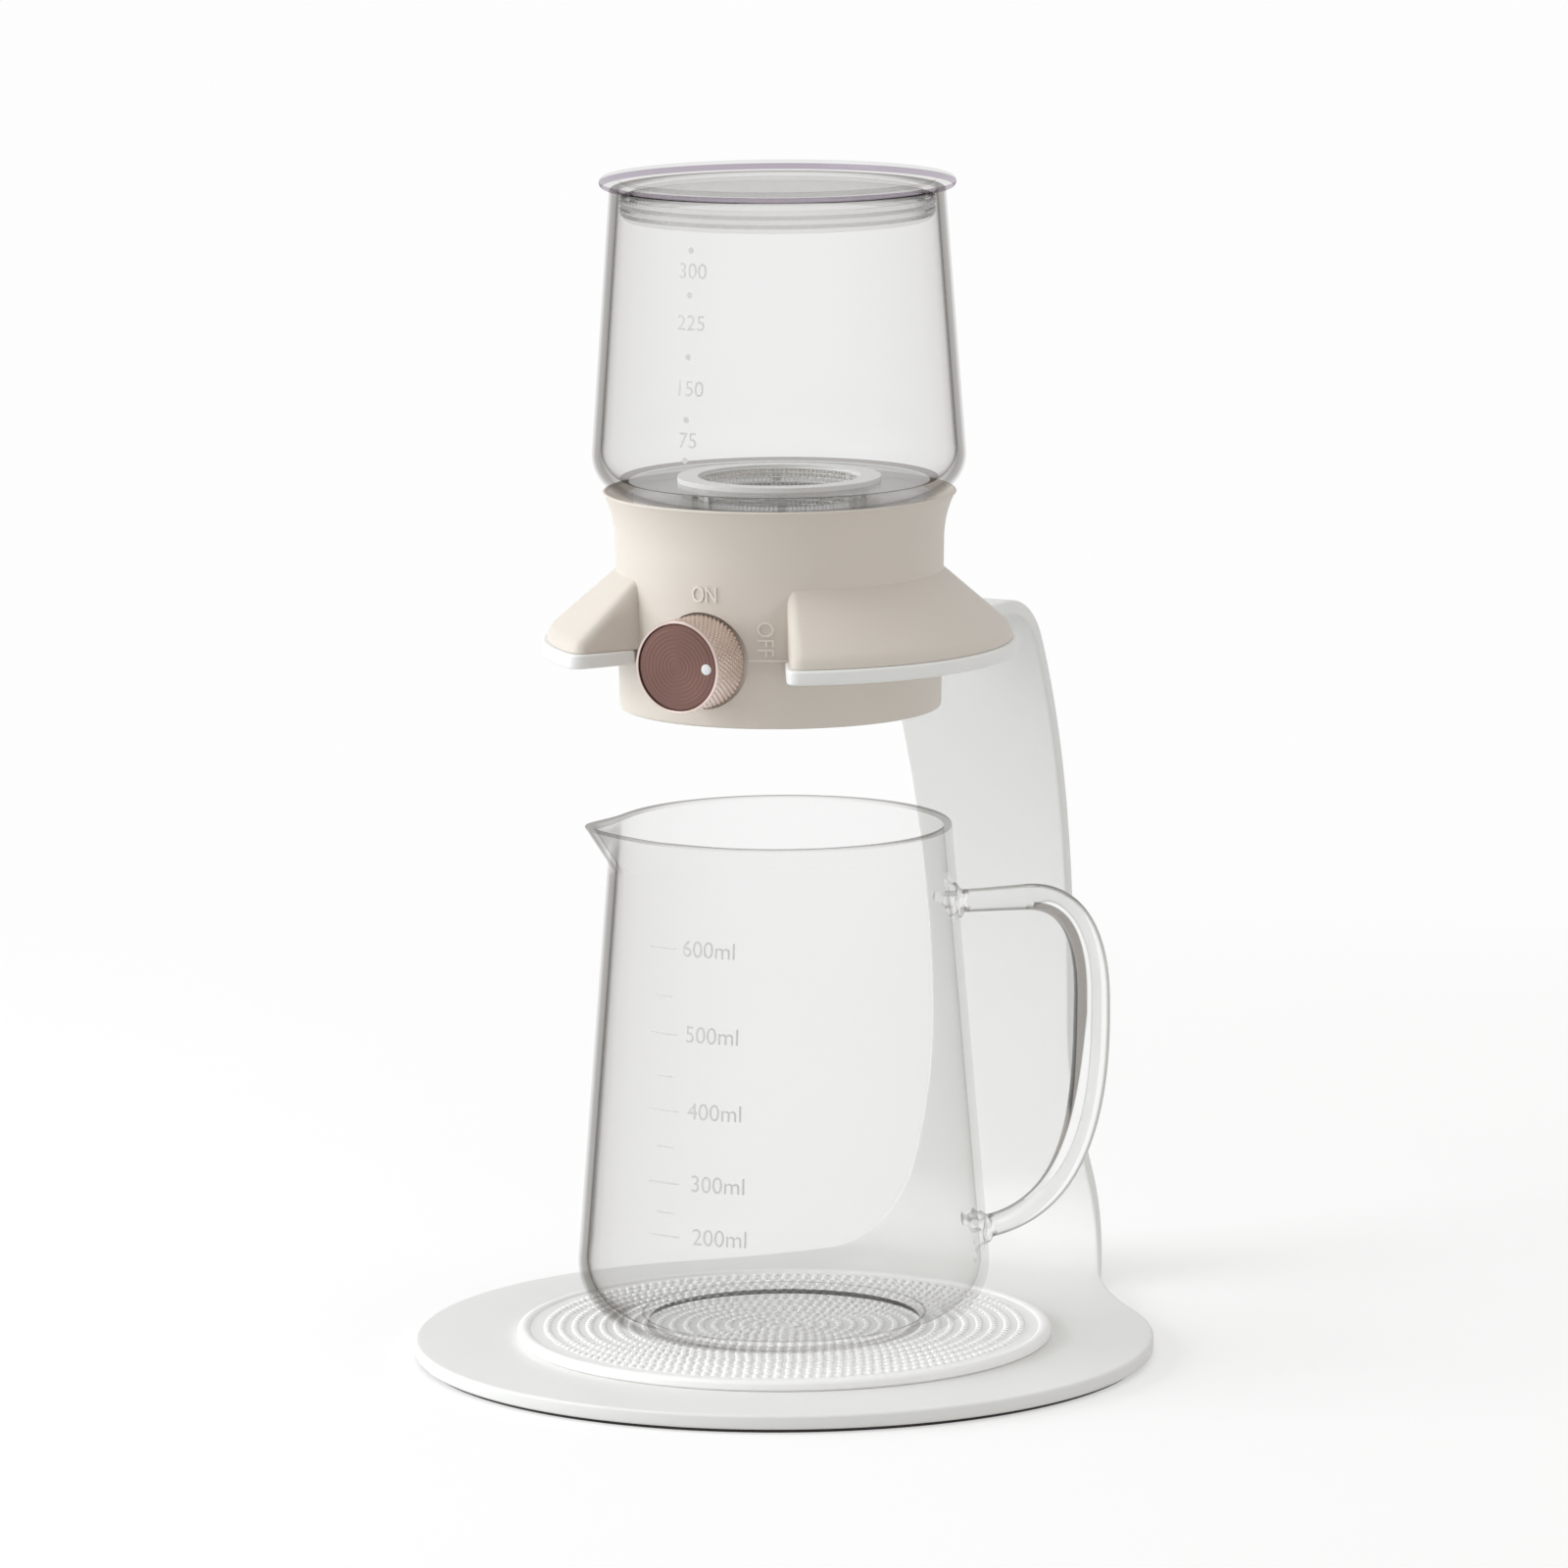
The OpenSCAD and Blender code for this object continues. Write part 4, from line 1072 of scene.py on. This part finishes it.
def skirt_profile(by):
    """Half section of the skirt, moved inwards, from the neck to the fork."""
    slope = radians(SKIRT_SLOPE)
    edge_x = SKIRT_R - SKIRT_ROUND
    touch_x = edge_x + SKIRT_ROUND * sin(slope)
    touch_z = FORK_Z + SKIRT_H - (touch_x - NECK_R) * tan(slope)
    edge_z = touch_z - SKIRT_ROUND * cos(slope)
    root_r = NECK_R - SKIRT_ROOT
    root_z = FORK_Z + SKIRT_H + SKIRT_ROOT * tan(slope) - by / cos(slope)
    low = degrees(asin((SKIRT_LOW - edge_z) / SKIRT_ROUND))
    round_edge = arc((edge_x, edge_z), SKIRT_ROUND - by, 90 - SKIRT_SLOPE, low, 16)
    face = wall_rows((root_r, root_z), round_edge[0], 8)
    return [(root_r, root_z)] + face + [(r, max(z, SKIRT_LOW)) for r, z in round_edge]


def close_ends(points, faces, count, flipped):
    """Closes both ends of a sweep with a corner below the root of its first and last ring."""
    for first, turned in ((0, flipped), (len(points) - count, not flipped)):
        cap = [*range(first, first + count), len(points)]
        points.append((*points[first][:2], SKIRT_LOW))
        faces.append(cap if turned else cap[::-1])


def skirt_shape():
    """The skirt swept round the back, with rounded ends and a hollow below."""
    start = radians(SKIRT_GAP / 2 - 90)
    middle_r = (NECK_R + SKIRT_R) / 2
    ease = [
        (SKIRT_END_R * (1 - cos(t)) / middle_r, SKIRT_END_R * (1 - sin(t))) for t in spread(0, pi / 2, 8)
    ]
    end = start + 2 * pi - radians(SKIRT_GAP)
    places = [(start + w, by) for w, by in ease]
    places += [(a, 0) for a in spread(start + ease[-1][0], end - ease[-1][0], 200)[1:-1]]
    places += [(end - w, by) for w, by in reversed(ease)]

    def ring(a, by):
        return [polar(r, a, z) for r, z in skirt_profile(by)]

    rings = [ring(a, by) for a, by in places]
    points, faces = skin(rings, closed=False)
    faces = [face[::-1] for face in faces]
    count = len(rings[0])
    close_ends(points, faces, count, False)
    wall_turn = SKIRT_WALL / NECK_R
    hollow = [ring(a, SKIRT_WALL) for a in spread(start + wall_turn, end - wall_turn, 200)]
    inner_points, inner_faces = skin(hollow, closed=False)
    close_ends(inner_points, inner_faces, count, True)
    root_r = NECK_R - SKIRT_ROOT
    outer_loop = [r[-1] for r in rings]
    outer_loop += [polar(root_r, a, SKIRT_LOW) for a in spread(end, start, 200)]
    inner_loop = [r[-1] for r in hollow]
    inner_loop += [polar(NECK_R, a, SKIRT_LOW) for a in spread(end - wall_turn, start + wall_turn, 200)]
    loops = [[Vector(p) for p in outer_loop], [Vector(p) for p in inner_loop]]
    lip = (outer_loop + inner_loop, [list(t) for t in tessellate_polygon(loops)])
    return join((points, faces), (inner_points, inner_faces), lip)


def tap_rod(radius, front, back):
    """A closed cylinder on the tap's axis between two places along it."""
    ends = (KNOB_BACK - back, KNOB_BACK - front)
    return moved(revolve([(0, ends[0]), (radius, ends[0]), (radius, ends[1]), (0, ends[1])], 120), on_tap)


def housing_shape():
    """The turned body with the tap's pocket and hole, and the skirt."""
    pocketed = combined(housing_shell(), tap_rod(POCKET_R, -2 * NECK_R, POCKET_Y), "DIFFERENCE")
    return join(combined(pocketed, tap_rod(GLAND_R, -2 * NECK_R, 0), "DIFFERENCE"), skirt_shape())


add_piece("housing_body", housing_shape(), housing_plastic, "dripper", ["housing"], 30)


# Knob


def triangle(x):
    """A wave between 0 and 1 with straight flanks."""
    return abs(2 * (x - floor(x)) - 1)


def knurled(r, z, angle):
    """Radius of the knob's side, cut by two sets of slanted grooves."""
    if r < KNOB_R:
        return r
    turn = KNURL_STARTS * angle / (2 * pi)
    rise = z / KNURL_LEAD
    height = min(triangle(turn + rise), triangle(turn - rise))
    return KNOB_R - KNURL_DEPTH * (1 - height)


def knob_shape():
    """The knurled sleeve with its plain front rim and the bore for the stem."""
    face_r = KNOB_FACE_R + 0.06
    floor_z = KNOB_LEN - KNOB_FACE_T
    plain = KNOB_R - KNURL_DEPTH / 2
    profile = [(KNOB_BORE_R, 0), (KNOB_R - 1.2, 0), (plain - 0.4, 0.3)]
    profile += [(KNOB_R, z) for z in spread(0.7, KNOB_LEN - 0.9, 66)]
    profile += [(plain, KNOB_LEN - 0.7), (plain, KNOB_LEN - 0.35)]
    profile += arc((plain - 0.35, KNOB_LEN - 0.35), 0.35, 10, 90, 5)
    profile += [(face_r + 0.12, KNOB_LEN), (face_r, KNOB_LEN - 0.12)]
    profile += [(face_r, floor_z), (KNOB_BORE_R, floor_z)]
    return moved(revolve(profile, KNURL_STARTS * 6, closed=True, shape=knurled), on_tap)


def face_shape():
    """The turned face, faintly dished, with fine rings from the lathe."""
    low = KNOB_LEN - KNOB_FACE_T + LIFT
    edge = KNOB_LEN - 0.5
    profile = [(0, low), (KNOB_FACE_R, low), (KNOB_FACE_R, edge - 0.3), (KNOB_FACE_R - 0.2, edge)]
    for r in spread(KNOB_FACE_R - 0.6, 0, 140):
        dish = 0.22 * smooth((KNOB_FACE_R - 0.6 - r) / 1.2)
        rings = 0.045 * sin(2 * pi * r / 0.95) * smooth(r / 1.5)
        profile.append((r, edge + 0.1 + dish + rings))
    return moved(revolve(profile, 160), on_tap)


def dot_shape():
    """The pointer dot, a drop of enamel."""
    low = KNOB_LEN - KNOB_FACE_T
    top = KNOB_LEN - 0.16
    drop = [(0, low), (DOT_R, low), (DOT_R, top)]
    drop += [(DOT_R * cos(t), top + 0.24 * sin(t)) for t in spread(0, pi / 2, 8)[1:-1]] + [(0, top + 0.24)]
    return moved(revolve(drop, 48), lambda x, y, z: on_tap(x + DOT_PLACE, y, z))


add_piece("knob_sleeve", knob_shape(), knob_metal, "valve", ["knob_body"], 25)
add_piece("knob_disc", face_shape(), face_metal, "valve", ["knob_face"], 50)
add_piece("pointer_dot", dot_shape(), dot_enamel, "valve", ["knob_dot"], 60)


# Filter mesh, woven from thin wires


def wire(path, normals):
    """A thin square tube along a path, whose rings stand across it."""
    rings = []
    for i, p in enumerate(path):
        a = Vector(path[max(i - 1, 0)])
        b = Vector(path[min(i + 1, len(path) - 1)])
        up = Vector(normals[i])
        side = (b - a).cross(up).normalized() * WIRE_R
        up = up * WIRE_R
        rings.append([tuple(Vector(p) + d) for d in (up, side, -up, -side)])
    return tube(rings)


def mesh_shape():
    """The strainer's floor and wall."""
    wires = []
    count = int(MESH_R / WIRE_PITCH)
    for swapped in (False, True):
        for row in range(-count, count + 1):
            offset = row * WIRE_PITCH
            half = sqrt(max(0, (MESH_R - 0.3) ** 2 - offset**2))
            steps = int(half / WIRE_PITCH)
            if steps < 1:
                continue
            path = []
            for k in range(-2 * steps, 2 * steps + 1):
                wave = WIRE_R * cos(pi * (k / 2 + row + swapped))
                place = (k * WIRE_PITCH / 2, offset) if not swapped else (offset, k * WIRE_PITCH / 2)
                path.append((*place, FILTER_LOW + 2 * WIRE_R + wave))
            wires.append(wire(path, [(0, 0, 1)] * len(path)))
    wall_r = MESH_R - 2 * WIRE_R
    around = int(2 * pi * wall_r / WIRE_PITCH / 2) * 2
    rows = int((FILTER_TOP - FILTER_LOW) / WIRE_PITCH)
    turns = spread(0, 2 * pi, around)
    low = FILTER_LOW + WIRE_START
    for row in range(rows):
        z = low + row * WIRE_PITCH
        path = [polar(wall_r + WIRE_R * cos(pi * (k + row)), a, z) for k, a in enumerate(turns)]
        wires.append(wire(path, [polar(1, a, 0) for a in turns]))
    for k, a in enumerate(turns[:-1]):
        waves = [(row, wall_r - WIRE_R * cos(pi * (k + row / 2))) for row in range(2 * rows - 1)]
        path = [polar(r, a, low + row * WIRE_PITCH / 2) for row, r in waves]
        wires.append(wire(path, [polar(1, a, 0)] * len(path)))
    return join(*wires)


add_piece("strainer", mesh_shape(), mesh_steel, "filter", ["filter_mesh"], 80)


# Marks on the glass and raised letters on the housing


def letters(text, size, depth=0.0, wide=1.0):
    """Flat or raised letters about their own middle."""
    curve = bpy.data.curves.new(text, "FONT")
    curve.body = text
    curve.size = size
    curve.align_x = "CENTER"
    curve.align_y = "CENTER"
    curve.extrude = depth
    curve.resolution_u = 5
    holder = bpy.data.objects.new(text, curve)
    shape = take_mesh(bpy.data.meshes.new_from_object(holder))
    bpy.data.objects.remove(holder)
    return moved(shape, lambda x, y, z: (wide * x, y, z))


def bar(length, height, steps=8):
    """A flat line about its own middle."""
    xs = spread(-length / 2, length / 2, steps)
    points = [(x, y, 0) for x in xs for y in (-height / 2, height / 2)]
    return points, [[2 * i, 2 * i + 2, 2 * i + 3, 2 * i + 1] for i in range(steps)]


def rule(length, height, depth):
    """A raised line about its own middle."""
    xs = spread(-length / 2, length / 2, 8)
    corners = [(-height / 2, -depth), (-height / 2, depth), (height / 2, depth), (height / 2, -depth)]
    return tube([[(x, y, z) for y, z in corners] for x in xs])


def disc(radius):
    """A flat dot."""
    return [(radius * cos(t), radius * sin(t), 0) for t in spread(0, 2 * pi, 20)[:-1]], [list(range(20))]


def wrapped(shape, heading, height, face_r, turned=False, proud=0.04):
    """A flat shape laid on a round wall at a heading and a height."""

    def place(x, y, out):
        if turned:
            x, y = y, -x
        z = height + y
        r = face_r(z)
        a = radians(heading) + x / r
        return polar(r + proud + out, a, z)

    return moved(shape, place)


def tank_face_r(z):
    """Radius of the tank's outer wall at a height."""
    return TANK_RIM_R + (TANK_RIM_Z - TANK_WALL / 2 - z) * tan(radians(TANK_SLOPE))


def tank_marks():
    """Numbers and dots up the front of the tank."""
    heading = -90.5
    numbers = [(300, 268.5), (225, 256.3), (150, 240.8), (75, 228.6)]
    shapes = [wrapped(letters(str(n), 5.2), heading, z, tank_face_r) for n, z in numbers]
    shapes += [wrapped(disc(0.75), heading - 0.8, z, tank_face_r) for z in (273.6, 263, 248.4, 233.6, 224)]
    return join(*shapes)


def jug_marks():
    """Lines and volumes up the front of the jug."""
    shapes = []
    for volume, z, heading in ((600, 106, -103), (500, 85.6, -101.2), (400, 67.3, -99.7),
                               (300, 50, -98.3), (200, 37.3, -97.4)):
        shapes.append(wrapped(bar(9, 0.32), heading, z, jug_face_r))
        shapes.append(wrapped(letters(str(volume) + "ml", 5.7), heading + 17.5, z + 0.3, jug_face_r))
    for z, heading in ((94.6, -101.2), (75.5, -99.6), (58.6, -98.3), (42.9, -97.2)):
        shapes.append(wrapped(bar(5, 0.32), heading, z, jug_face_r))
    return join(*shapes)


def tap_marks():
    """Raised words and a line for the knob's two places."""
    depth = 0.17
    closed = wrapped(letters("OFF", 5.8, depth, 0.85), -66.9, 181.3, neck_face_r, True, depth)
    opened = wrapped(letters("ON", 5.4, depth, 0.8), -88.5, 191.3, neck_face_r, False, depth)
    pointer = wrapped(rule(9.4, 0.5, depth), -65.7, 176.1, neck_face_r, False, depth)
    return join(closed, opened, pointer)


add_piece("tank_scale", tank_marks(), mark_print, "tank")
add_piece("jug_scale", jug_marks(), mark_print, "jug")
# The raised words get the lighter plastic: a painted highlight
add_piece("tap_words", tap_marks(), word_plastic_painted_highlight, "dripper")


# Finishes of the solids that keep their shape

KEPT = (
    (pad_rubber, ["foot_pad"]),
    (seal_silicone, ["tank_gasket", "funnel_seal", "outlet_nozzle"]),
    (inner_plastic, ["funnel", "valve_body", "valve_cap", "stem_gland"]),
    (o_ring_rubber, ["inlet_seal", "stem_seals"]),
    (housing_plastic, ["bottom_cover"]),
    (steel, ["cover_screws", "valve_stem", "knob_set_screw"]),
    (filter_plastic, ["filter_frame"]),
    (soft_clear, ["lid_seal"]),
)
for material, names in KEPT:
    for name in names:
        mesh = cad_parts[name].data
        mesh.materials.clear()
        mesh.materials.append(material)


# Floor, world, lamps and camera

WHITE = 0.985
FLOOR_BOUNCE = 0.62
FLOOR_SHARE = 0.5
FLOOR_NEAR = 0.3
FLOOR_FAR = 0.7
FLOOR_R = 6
FILL = (0.53, 0.522, 0.51)
MIRRORED = (0.7, 0.7, 0.7)
FLAG = 0.12
FLAG_HEADING = 69.5
FLAG_HALF = 14
FLAG_SOFT = 3
FLAG_NEAR = 0.25
LAMP_AIM = (0, 0, 0.15)
DAY = (0.97, 1.0, 1.02)


def flag(tree, place):
    """1 for rays through glass towards a dark flag beside the handle."""
    parts = add(tree, "SeparateXYZ")
    link(place, parts.inputs["Vector"])
    heading = sums(tree, "ARCTAN2", parts.outputs["Y"], parts.outputs["X"])
    off = sums(tree, "ABSOLUTE", sums(tree, "SUBTRACT", heading, radians(FLAG_HEADING)))
    share = remap(tree, off, 1, 0, radians(FLAG_HALF - FLAG_SOFT), radians(FLAG_HALF))
    return sums(tree, "MULTIPLY", share, rays(tree, "Is Transmission Ray"))


def studio_floor():
    """A pale floor: white to the eye far off, with the object's shadow near it, and dimmer as a bounce."""
    material, tree = blank("floor")
    tree.nodes.remove(tree.nodes["Principled BSDF"])
    seen = rays(tree, "Is Camera Ray", "Is Glossy Ray", "Is Transmission Ray")
    place = own_place(tree)
    length = add(tree, "VectorMath")
    length.operation = "LENGTH"
    link(place, length.inputs[0])
    reach = length.outputs["Value"]
    matt = add(tree, "BsdfDiffuse")
    link(remap(tree, seen, FLOOR_BOUNCE, WHITE), matt.inputs["Color"])
    glow = add(tree, "Emission")
    dark = sums(tree, "MULTIPLY", flag(tree, place), remap(tree, reach, 0, 1, FLAG_NEAR, FLOOR_NEAR))
    link(remap(tree, dark, WHITE, FLAG), glow.inputs["Color"])
    share = sums(tree, "MULTIPLY", seen, remap(tree, reach, FLOOR_SHARE, 1, FLOOR_NEAR, FLOOR_FAR))
    share = sums(tree, "MAXIMUM", share, dark)
    show(tree, mixed(tree, share, matt.outputs["BSDF"], glow.outputs["Emission"]))
    points, faces = revolve([(FLOOR_R, 0), (0, 0)], 96)
    mesh = bpy.data.meshes.new("floor")
    mesh.from_pydata(points, [], faces)
    mesh.materials.append(material)
    place_object("floor", mesh)


def studio_world():
    """White to the eye, dimmer in mirrors, and a soft fill for what it lights."""
    world = bpy.data.worlds.new("studio")
    world.use_nodes = True
    tree = world.node_tree
    place = add(tree, "TexCoord").outputs["Generated"]
    fill = add(tree, "Background")
    fill.inputs["Color"].default_value = (*FILL, 1)
    mirrored = add(tree, "Background")
    mirrored.inputs["Color"].default_value = (*MIRRORED, 1)
    backdrop = tree.nodes["Background"]
    link(remap(tree, flag(tree, place), WHITE, FLAG), backdrop.inputs["Color"])
    level = mixed(tree, rays(tree, "Is Glossy Ray"), fill.outputs[0], mirrored.outputs[0])
    seen = rays(tree, "Is Camera Ray", "Is Transmission Ray")
    show(tree, mixed(tree, seen, level, backdrop.outputs[0]), "World Output")
    bpy.context.scene.world = world


def lamp(name, place, size, power, mirrored=False, colour=(1, 1, 1)):
    """A soft lamp aimed at the object, which mirrors may show."""
    data = bpy.data.lights.new(name, "AREA")
    data.shape = "RECTANGLE"
    data.size, data.size_y = size
    data.energy = power
    data.color = colour
    obj = place_object(name, data)
    obj.location = place
    obj.rotation_euler = (Vector(LAMP_AIM) - Vector(place)).to_track_quat("-Z", "Y").to_euler()
    obj.visible_camera = False
    obj.visible_glossy = mirrored
    obj.visible_transmission = mirrored


def add_camera(place, aim, lens, roll):
    """The photograph's camera, rolled by an angle in degrees."""
    data = bpy.data.cameras.new("camera")
    data.lens = lens
    data.sensor_width = 36
    obj = place_object("camera", data)
    obj.location = place
    turn = (Vector(aim) - Vector(place)).to_track_quat("-Z", "Y")
    obj.rotation_euler = (turn @ Quaternion((0, 0, 1), radians(roll))).to_euler()
    bpy.context.scene.camera = obj


studio_floor()
studio_world()
lamp("key", (-1.52, -0.73, 0.6), (1.8, 1.1), 26, False, DAY)
lamp("glow", (-1.5, -1.2, 0.8), (1.4, 1.2), 3, True, DAY)
lamp("side", (2.0, -0.5, 0.2), (0.5, 0.5), 6)
lamp("top", (-0.9, -0.5, 1.9), (0.8, 0.8), 5.5, True, DAY)
lamp("roof", (0.3, -0.2, 2.1), (1.2, 1.2), 6)
add_camera(place=(1.1144, -2.0525, 0.5175), aim=(0.00062, 0.00034, 0.1402), lens=224.8, roll=-0.34)
bpy.context.scene.view_settings.view_transform = "Standard"
